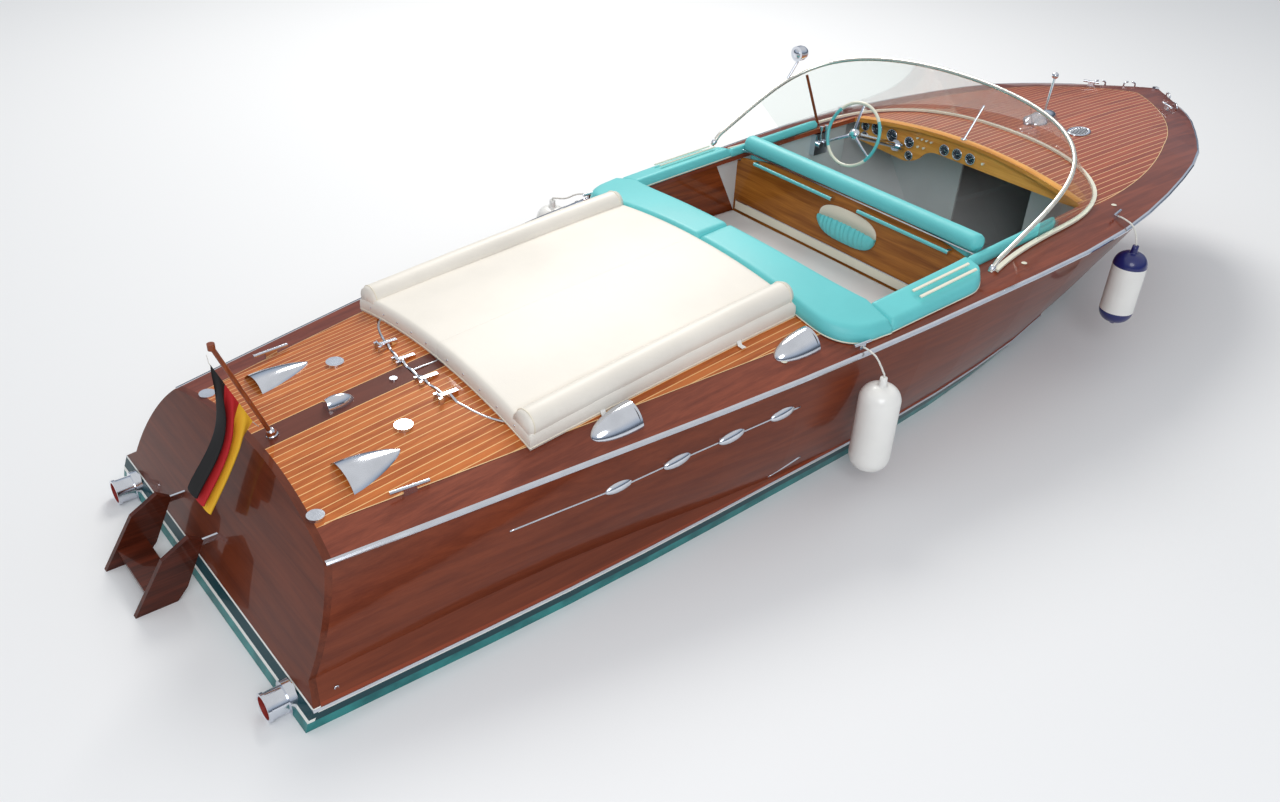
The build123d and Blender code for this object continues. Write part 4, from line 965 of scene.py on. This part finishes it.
FLAG_HOIST, FLAG_FLY = 0.40, 0.66
FLAG_GRID = 90
FOLDS, DEEPEST = 3.1, 0.032
S, T = np.meshgrid(np.linspace(0, 1, FLAG_GRID), np.linspace(0, 1, FLAG_GRID), indexing="ij")
HOIST_TOP, HOIST_LOW = np.array([-3.806, 1.170]), np.array([-3.668, 0.822])
BLACK_END, GOLD_END = np.array([-3.995, 0.575]), np.array([-3.925, 0.402])


def ensign(depth):
    """The hoist lies along the staff and the fly hangs below it, in three folds that deepen downwards."""
    hoist = HOIST_TOP + (HOIST_LOW - HOIST_TOP) * S[..., None]
    fly = BLACK_END + (GOLD_END - BLACK_END) * S[..., None]
    sag = np.stack([0.075 * (1 - S), -0.02 * (1 - S)], -1) * np.sin(np.pi * T)[..., None] ** 1.3
    flat = hoist * (1 - T[..., None]) + fly * T[..., None] + sag
    deepen = np.clip(T * 3.2, 0, 1) ** 0.8
    phase = 2 * np.pi * FOLDS * S + 1.1 * T + 0.4
    lean = 0.25 * depth * deepen * np.cos(phase) * np.sin(2.2 * T)
    return np.dstack([flat[..., 0] + lean, depth * deepen * np.sin(phase), flat[..., 1]])


def area_of(grid):
    """Sum of the two triangles of every quad."""
    a, b, c, d = grid[:-1, :-1], grid[1:, :-1], grid[1:, 1:], grid[:-1, 1:]
    one = np.linalg.norm(np.cross(b - a, c - a), axis=2)
    two = np.linalg.norm(np.cross(c - a, d - a), axis=2)
    return 0.5 * float((one + two).sum())


# The folds are as deep as the cloth's area asks for
low, high = 0.0, DEEPEST
for _ in range(30):
    depth = (low + high) / 2
    low, high = (depth, high) if area_of(ensign(depth)) < FLAG_HOIST * FLAG_FLY else (low, depth)
uv = np.dstack([T, S]).reshape(-1, 2)
faces = grid_faces(FLAG_GRID, FLAG_GRID)
flag = add_mesh("ensign", ensign(depth), faces, flag_finish, HULL, uv=uv)
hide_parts("flag")
HALYARD = [
    (-3.812, 0.012, 1.215), (-3.808, 0.013, 1.172), (-3.745, 0.013, 1.000), (-3.672, 0.013, 0.822),
    (-3.640, 0.013, 0.775),
]
tube("flag_halyard", HALYARD, 0.0018, white_cord)
SOCKET = [
    (0, 0.001), (0, 0.030), (0.006, 0.029), (0.010, 0.018), (0.034, 0.0165), (0.036, 0.0122),
    (0.0362, 0.0118),
]
SOCKET_AT = (-3.590, 0, float(deck(-3.59, 0)) + 0.0005)
lathe("flagstaff_socket", SOCKET, SOCKET_AT, (-0.18, 0, 1), chrome, sides=36)


# Trim on the deck and the sides
def ribbon(name, plan, width, finish, lift=0.0006, thick=0.0, count=160, body=HULL):
    """Flat strip of the given width that follows a plan line on the deck."""
    plan = resample(plan, count)
    run = unit(np.gradient(plan, axis=0))
    side = np.stack([-run[:, 1], run[:, 0]], -1)
    offsets = np.array([-0.5, -0.3, 0.3, 0.5]) * width
    rise = np.array([0.0, 1.0, 1.0, 0.0]) * thick
    grid = plan[:, None] + side[:, None] * offsets[None, :, None]
    z = deck(grid[..., 0], grid[..., 1]) + lift + rise[None, :]
    add_mesh(name, np.dstack([grid, z]), grid_faces(count, 4)[:, ::-1], finish, body)


def margin(x):
    """Half breadth of the planked part of the after deck at its seam with the covering boards."""
    return 0.640 + 0.155 * (x + 3.65) - 0.011 * (x + 3.65) ** 2


# Planks from the edge of the CAD deck out to the margin seam, a veneer over the covering boards
DECK_EDGE_X = [-3.7, -3.6, -3.2, -2.8, -2.4, -2.0, -1.6, -1.2, -1.0, -0.8]
DECK_EDGE_Y = [0.640, 0.650, 0.684, 0.716, 0.744, 0.770, 0.794, 0.814, 0.822, 0.840]
PLANKS_AFT, PLANKS_FORE, PLANKS_ROWS, PLANKS_COLS = -3.60, -0.80, 230, 16
VENEER = 0.0008
deck_skins = [skin_tree(name) for name in ("aft_deck", "covering_board_port", "covering_board_starboard")]
for side, word in SIDES:
    xs = np.linspace(PLANKS_AFT, PLANKS_FORE, PLANKS_ROWS)[:, None]
    near = np.interp(xs, DECK_EDGE_X, DECK_EDGE_Y) - 0.004
    far = np.maximum(margin(xs), near + 0.003)
    ys = side * (near + (far - near) * np.linspace(0, 1, PLANKS_COLS)[None, :])
    grid = np.dstack([np.broadcast_to(xs, ys.shape), ys, np.zeros(ys.shape)])
    for spot in grid.reshape(-1, 3):
        spot[2] = max(top.z for top in met(deck_skins, (spot[0], spot[1], 3), DOWN)) + VENEER
    quads = grid_faces(PLANKS_ROWS, PLANKS_COLS)[:, ::-side]
    add_mesh("side_planks_" + word, grid, quads, deck_wood, HULL)

SEAM = 0.0045
for side, word in SIDES:
    x = np.linspace(-3.690, -0.800, 90)
    ribbon("aft_margin_seam_" + word, np.stack([x, side * margin(x)], -1), SEAM, pale_seam, 0.0018)
    fore = np.vstack([
        arc((1.50, side * 0.992), (2.150, side * 0.932), (2.850, side * 0.715), 40),
        arc((2.850, side * 0.715), (3.480, side * 0.300), (3.688, side * 0.004), 30),
    ])
    ribbon("fore_margin_seam_" + word, fore, SEAM, pale_seam)
ribbon("stern_seam", [(-3.680, -0.640), (-3.684, 0.0), (-3.680, 0.640)], SEAM, pale_seam)

corner = np.vstack([
    [(-2.66, 0.612), (-2.69, 0.603)], arc((-2.708, 0.590), (-2.742, 0.545), (-2.775, 0.480), 8),
])
strip = np.vstack([
    corner, arc((-2.790, 0.440), (-2.858, 0.0), (-2.790, -0.440), 40), corner[::-1] * [1, -1],
])
ribbon("hatch_edge_strip", strip, 0.012, chrome, 0.0014, 0.0022)
centre_strip = [(-2.852, -0.007), (-2.70, -0.007)]
ribbon("hatch_centre_strip", centre_strip, 0.010, chrome, 0.0014, 0.002, 10, "hatch_leaf_starboard")

PLUG = [(0.0002, 0.001), (0.0002, 0.018), (0.0022, 0.0175), (0.003, 0.014), (0.0032, 0.001)]
PLUG_AT = ((-1.296, 1.020), (0.561, 1.152), (1.663, 1.053))
for side, word in SIDES:
    for k, (x, y) in enumerate(PLUG_AT, 1):
        place = (x, side * y, float(deck(x, side * y)))
        lathe("deck_plug_%s_%d" % (word, k), PLUG, place, UP, ivory, sides=24)

# Faces, rings and marks of the gauges: place across and up, and radius of the ring
GAUGES = [
    (0.900, 0.930, 0.037), (0.790, 0.943, 0.050), (0.893, 0.855, 0.035), (0.645, 0.935, 0.048),
    (0.485, 0.935, 0.042), (0.470, 0.840, 0.036), (0.180, 0.975, 0.041), (0.070, 0.980, 0.041),
    (-0.040, 0.982, 0.041),
]
DIAL_X, RING_X, MARK_X, HAND_X = 1.5023, 1.5016, 1.5010, 1.5006
RING_THICK = 0.0036


def mark(turn, near, far, wide, tip, y, z, x):
    """Thin quad along a direction in the face of a dial."""
    d = np.array([math.sin(turn), math.cos(turn)])
    n = np.array([d[1], -d[0]])
    quad = [d * near - n * wide, d * near + n * wide, d * far + n * tip, d * far - n * tip]
    return [(x, y + q[0], z + q[1]) for q in quad]


for k, (y, z, r) in enumerate(GAUGES):
    face = r - 0.006
    profile = [(0.0, 0.0005), (0.0, face), (0.0008, face), (0.0008, 0.0005)]
    lathe("dial_%d" % (k + 1), profile, (DIAL_X, y, z), (-1, 0, 0), black_dial, sides=36)
    cos, sin = circle(40)
    ring = np.stack([np.full(40, RING_X), y + (r - 0.0035) * cos, z + (r - 0.0035) * sin], -1)
    tube("dial_ring_%d" % (k + 1), ring, RING_THICK, chrome, closed=True, up=(1, 0, 0))
    verts = []
    for turn in np.linspace(-2.3, 2.3, 9):
        verts += mark(turn, face * 0.70, face * 0.92, 0.0010, 0.0010, y, z, MARK_X)
    verts += mark(-1.9 + 0.5 * (k % 3), -face * 0.15, face * 0.72, 0.0012, 0.0005, y, z, HAND_X)
    faces = np.arange(len(verts)).reshape(-1, 4)
    add_mesh("dial_marks_%d" % (k + 1), verts, faces, dial_white, smooth=False)

# Wheel: a smooth ivory rim with turquoise grips, three chrome spokes and a domed boss
WHEEL_BODY = "steering_wheel_body"
WHEEL_RADIUS = 0.215
RAKE = math.radians(20)
hub = np.array([0.95, 0.56, 1.08])
axis = np.array([math.cos(RAKE), 0, -math.sin(RAKE)])
wheel_side = np.array([0, 1.0, 0])
wheel_up = np.cross(axis, wheel_side)


def grips(c, n):
    """Two quarters of the rim, to port and to starboard."""
    c = c - hub
    return np.cos(2 * np.arctan2(c @ wheel_up, c @ wheel_side)) > 0.25


cos, sin = circle(120)
rim_path = hub + WHEEL_RADIUS * (cos[:, None] * wheel_side + sin[:, None] * wheel_up)
wheel_rim = tube("wheel_rim", rim_path, 0.0112, ivory, WHEEL_BODY, 20, True, axis)
paint_faces(wheel_rim, turquoise_plastic, grips)
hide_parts("steering_wheel")
BOSS = [
    (-0.018, 0.001), (-0.018, 0.012), (-0.014, 0.026), (-0.004, 0.036), (0.010, 0.040), (0.034, 0.038),
    (0.036, 0.012), (0.218, 0.011), (0.219, 0.001),
]
HORN = [(-0.024, 0.0005), (-0.023, 0.010), (-0.018, 0.017), (-0.012, 0.018)]
lathe("wheel_boss", BOSS, hub, axis, chrome, WHEEL_BODY, 48)
lathe("wheel_horn", HORN, hub, axis, turquoise_plastic, WHEEL_BODY, 36)
for k in range(3):
    turn = math.radians(90 + 120 * k)
    ray = math.cos(turn) * wheel_side + math.sin(turn) * wheel_up
    bow = 0.004 * axis * np.sin(np.linspace(0, np.pi, 14))[:, None]
    spoke = hub + np.linspace(0.030, 0.209, 14)[:, None] * ray - bow
    thick = np.linspace(0.0125, 0.0085, 14)
    tube("wheel_spoke_%d" % (k + 1), spoke, thick, chrome, WHEEL_BODY, 16, False, axis, 0.34)

# Windscreen rim: one smooth tube on the same plan curve, with its feet and clamps
RIM_START, RIM_LENGTH, RIM_HALF, RIM_Z, RIM_SLOPE = 0.254, 1.098, 1.165, 1.026, 0.491
turn = np.linspace(-np.pi / 2, np.pi / 2, 181)
rim_x = RIM_START + RIM_LENGTH * np.abs(np.cos(turn)) ** (2 / 4.58)
rim_y = RIM_HALF * np.sign(np.sin(turn)) * np.abs(np.sin(turn)) ** (2 / 2.095)
rim_curve = np.stack([rim_x, rim_y, RIM_Z + RIM_SLOPE * (rim_x - RIM_START)], -1)
feet = rim_curve[[0, -1]] + [-0.064, 0, -0.064]
rim_curve = resample(rounded([feet[0], *resample(rim_curve, 90), feet[1]], 0.012, 3), 220)
rim_tube = tube("windshield_rim_tube", rim_curve, 0.0140, bright_rim, sides=16)
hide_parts("windshield_rim")
CLAMP = [(-0.014, 0.001), (-0.014, 0.016), (-0.011, 0.018), (0.011, 0.018), (0.014, 0.016), (0.014, 0.001)]
for side, word in SIDES:
    clamp = np.array([RIM_START - 0.045, side * RIM_HALF, RIM_Z - 0.045])
    lathe("windshield_clamp_" + word, CLAMP, clamp, (1, 0, 1), chrome, sides=32)

# Margin board of the foredeck over the dashboard
ribbon("dash_brow", arc((1.468, -0.925), (1.529, 0.0), (1.468, 0.925), 60), 0.064, dash_wood, 0.0004, 0.003)

# Clamshell vents and scoops in smooth sheet, open at the mouth
SHEET = 0.003
SHELL_LONG, SHELL_HALF_WIDE, SHELL_HIGH = 0.245, 0.082, 0.076
SHELL_AT = ((-2.192, 0.899), (-1.082, 0.984))
SCOOP_LONG, SCOOP_HALF_WIDE, SCOOP_HIGH, SCOOP_POINT = 0.290, 0.106, 0.046, 0.006
SCOOP_AT = (-3.480, 0.463)


def near_deck(x, y, reach=0.16):
    """Second-order surface through the deck's heights round one place."""
    def terms(a, b):
        return np.stack([np.ones_like(a), a, b, a * a, a * b, b * b], -1)
    a, b = np.meshgrid(np.linspace(-reach, reach, 7), np.linspace(-reach, reach, 7))
    fit = np.linalg.lstsq(terms(a.ravel(), b.ravel()), deck(x + a, y + b).ravel(), rcond=None)[0]
    return lambda xs, ys: terms(xs - x, ys - y) @ fit


def shell_vent(name, x, y):
    """Half an ellipsoid over the deck, cut square at its mouth."""
    run = 0.008 - 0.2525 * np.sin(np.linspace(0, np.pi / 2, 44)) ** 1.05
    skin = near_deck(x, y)
    theta = np.linspace(0, np.pi, 40)[None, :]
    skins = []
    for inset in (0.0, SHEET):
        fall = np.sqrt(np.clip(1 - (run / (SHELL_LONG - inset)) ** 2, 1e-4, 1))[:, None]
        ys = y + (SHELL_HALF_WIDE - inset) * fall * np.cos(theta)
        xs = np.broadcast_to((x + run)[:, None], ys.shape)
        arch = (SHELL_HIGH - inset) * fall * np.sin(theta)
        skins.append(np.dstack([xs, ys, skin(xs, ys) + arch - 0.002]))
    return vent(name, skins)


def scoop_vent(name, x, y):
    """Triangular hood: a flat arch at its after end that narrows and sinks to a blunt point ahead."""
    run = np.linspace(0, 1, 40)[:, None]
    wide = SCOOP_HALF_WIDE * (1 - run ** 1.5) ** 0.75 + SCOOP_POINT
    high = SCOOP_HIGH * (1 - run ** 2.2) + SCOOP_POINT
    across = np.linspace(-1, 1, 36)[None, :]
    skin = near_deck(x + SCOOP_LONG / 2, y)
    skins = []
    for inset in (0.0, SHEET):
        ys = y + (wide - inset) * across
        xs = np.broadcast_to(x + SCOOP_LONG * run + inset * 0.5, ys.shape)
        arch = (high - inset) * (1 - np.abs(across) ** 2.3) ** 0.8
        skins.append(np.dstack([xs, ys, skin(xs, ys) + arch - 0.001]))
    return vent(name, skins)


def vent(name, skins):
    made = closed_sheets(name, *skins, chrome, "chrome")
    made.data.set_sharp_from_angle(angle=0.8)
    return made


for side, word in SIDES:
    for k, (x, y) in enumerate(SHELL_AT, 1):
        shell_vent("shell_vent_%s_%d" % (word, k), x, side * y)
        # A near-black half disc just inside each shell's mouth: painted shade in the vent
        theta = np.linspace(0, np.pi, 24)
        foot = float(deck(x + 0.006, side * y)) + 0.001
        mouth = [np.full(24, x - 0.0065), side * y + 0.074 * np.cos(theta), foot + 0.068 * np.sin(theta)]
        name = "shell_mouth_%s_%d" % (word, k)
        add_mesh(name, np.stack(mouth, -1), [list(range(24))], painted_shade_gap, smooth=False)
    scoop_vent("scoop_" + word, SCOOP_AT[0], side * SCOOP_AT[1])
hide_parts("deck_vents")

# Oval grille on the foredeck: a dished ring over seven bars
GRILLE_X, GRILLE_Y = 2.403, -0.293
GRILLE_HALF_X, GRILLE_HALF_Y = 0.102, 0.060
BAR_STEP = 0.025
cos, sin = circle(60)


def oval(inset, lift):
    half_x, half_y = GRILLE_HALF_X - inset, GRILLE_HALF_Y - inset
    return on_deck(np.stack([GRILLE_X + half_x * cos, GRILLE_Y + half_y * sin], -1), lift)


tube("oval_grille_ring", oval(0, 0.004), 0.0085, chrome, sides=12, closed=True)
# A near-black disc under the bars: painted shade in the grille's opening
add_mesh("oval_grille_painted_shade", oval(0.002, 0.0012), [list(range(60))], painted_shade_gap, smooth=False)
for k in range(-3, 4):
    half = 0.058 * math.sqrt(1 - (k * BAR_STEP / GRILLE_HALF_X) ** 2)
    plan = [(GRILLE_X + k * BAR_STEP, GRILLE_Y + f * half) for f in (-1, -0.5, 0, 0.5, 1)]
    tube("oval_grille_bar_%d" % (k + 4), on_deck(plan, 0.004), 0.0045, chrome)

# Bright line through the teardrop vents, the tip of the spray ledge and the stern drains
bottom = skin_tree("hull_bottom")
SIDE_SKINS = {side: [skin_tree("topside_" + word), bottom] for side, word in SIDES}


def on_side(x, z, side):
    """Outermost point of the hull's side at this station and height."""
    spots = met(SIDE_SKINS[side], (x, side * 3.0, z), (0, -side, 0))
    return max((spot[:] for spot in spots), key=lambda spot: side * spot[1])


SIDE_LINE = [(-2.962, 0.508), (-2.375, 0.528), (-2.055, 0.560), (-1.728, 0.588), (-1.290, 0.618)]
LEDGE_TIP = [(-1.377, 0.160), (-1.168, 0.219)]
DRAIN = [(-0.002, 0.001), (-0.002, 0.013), (0.003, 0.012), (0.004, 0.008), (0.001, 0.006), (0.001, 0.001)]
for side, word in SIDES:
    line = [on_side(x, z, side) for x, z in resample(SIDE_LINE, 60)]
    tube("side_line_" + word, line, 0.0048, chrome, squash=0.9)
    line = [on_side(x, z, side) for x, z in resample(LEDGE_TIP, 12)]
    tube("ledge_tip_" + word, line, np.linspace(0.003, 0.007, 12), chrome)
    place = on_side(-3.865, 0.150, side)
    lathe("stern_drain_" + word, DRAIN, place, (0, side, 0), chrome, sides=24)

# Bow chocks: two horns each, curled towards one another. Rows of a horn: share of lean inwards, height
HORN_ROWS = [(0, -0.002), (0, 0.022), (0.012, 0.034), (0.030, 0.036)]
CHOCK_AT = ((3.700, 0.330), (3.880, 0.170))
for side, word in SIDES:
    for k, (x, y) in enumerate(CHOCK_AT, 1):
        lean = np.array([0.72, -side * 0.69, 0])
        for end, tag in ((-1, "a"), (1, "b")):
            base = np.array([x, side * y, float(deck(x, side * y))]) + end * 0.045 * lean
            horn = rounded([base - end * inwards * lean + [0, 0, z] for inwards, z in HORN_ROWS], 0.015, 5)
            name = "bow_chock_%s_%d%s" % (word, k, tag)
            tube(name, horn, 0.0065, chrome, sides=10, up=(0.3, 0.9, 0.1))


# Floor, light and camera
FLOOR_HALF = 60.0
SKY = [
    (0.0, (0.06, 0.07, 0.10)), (0.12, (0.14, 0.17, 0.22)), (0.34, (0.62, 0.70, 0.82)), (0.7, (1.0, 1.0, 1.0)),
]
SKY_STRENGTH = 0.70
SEEN = (0.93, 0.94, 0.95, 1)


def add_object(name, data):
    made = bpy.data.objects.new(name, data)
    bpy.context.scene.collection.objects.link(made)
    return made


def pale_floor():
    finish = Finish("pale floor", Roughness=0.6, Base_Color=(0.82, 0.83, 0.84))
    mesh = bpy.data.meshes.new("floor")
    corners = [(-1, -1, 0), (1, -1, 0), (1, 1, 0), (-1, 1, 0)]
    mesh.from_pydata([(FLOOR_HALF * x, FLOOR_HALF * y, z) for x, y, z in corners], [], [(0, 1, 2, 3)])
    mesh.materials.append(finish.material)
    add_object("floor", mesh)


def pale_world():
    """A graded sky that metal and glass reflect, behind one pale tone for what the camera sees."""
    world = bpy.data.worlds.new("pale world")
    bpy.context.scene.world = world
    world.use_nodes = True
    nodes, links = world.node_tree.nodes, world.node_tree.links
    back = nodes["Background"]
    where, height, sky, seen, path, either, blend = (nodes.new("ShaderNode" + kind) for kind in (
        "TexCoord", "SeparateXYZ", "ValToRGB", "Background", "LightPath", "Math", "MixShader",
    ))
    for k, (place, colour) in enumerate(SKY):
        ramp = sky.color_ramp.elements
        element = ramp[k] if k < 2 else ramp.new(0.5 + 0.1 * k)
        element.position = place
        element.color = (*colour, 1)
    back.inputs["Strength"].default_value = SKY_STRENGTH
    seen.inputs["Color"].default_value = SEEN
    either.operation = "MAXIMUM"
    for source, target in (
        (where.outputs["Generated"], height.inputs[0]), (height.outputs[2], sky.inputs[0]),
        (sky.outputs[0], back.inputs["Color"]), (path.outputs["Is Camera Ray"], either.inputs[0]),
        (path.outputs["Is Transmission Ray"], either.inputs[1]), (either.outputs[0], blend.inputs[0]),
        (back.outputs[0], blend.inputs[1]), (seen.outputs[0], blend.inputs[2]),
        (blend.outputs[0], nodes["World Output"].inputs["Surface"]),
    ):
        links.new(source, target)


def lamp(name, place, size, power, colour):
    """Round area lamp turned to the middle of the boat."""
    data = bpy.data.lights.new(name, "AREA")
    data.shape = "DISK"
    data.size = size
    data.energy = power
    data.color = colour
    made = add_object(name, data)
    made.location = place
    made.rotation_euler = (Vector((0, 0, 0.5)) - Vector(place)).to_track_quat("-Z", "Y").to_euler()


CAMERA_AT = (-5.125, -4.295, 3.801)
AZIMUTH, ELEVATION, ROLL = math.radians(48.76), math.radians(-33.28), math.radians(3.27)
LENS, SENSOR = 32.09, 36.0


def camera():
    """The photograph's camera, as fitted to it."""
    flat = math.cos(ELEVATION)
    ahead = Vector((flat * math.cos(AZIMUTH), flat * math.sin(AZIMUTH), math.sin(ELEVATION)))
    right = ahead.cross(Vector(UP)).normalized()
    top = right.cross(ahead)
    across = right * math.cos(ROLL) + top * math.sin(ROLL)
    upward = top * math.cos(ROLL) - right * math.sin(ROLL)
    data = bpy.data.cameras.new("camera")
    data.sensor_width = SENSOR
    data.lens = LENS
    data.clip_end = 200
    made = add_object("camera", data)
    turned = Matrix((across, upward, -ahead)).transposed().to_4x4()
    made.matrix_world = Matrix.Translation(CAMERA_AT) @ turned
    bpy.context.scene.camera = made


pale_floor()
pale_world()
lamp("key", (3.5, 7.5, 9.0), 5.5, 780, (1.0, 0.97, 0.92))
lamp("fill", (-7.0, -8.0, 7.5), 6.0, 430, (0.98, 0.98, 1.0))
camera()
bpy.context.scene.view_settings.view_transform = "Standard"
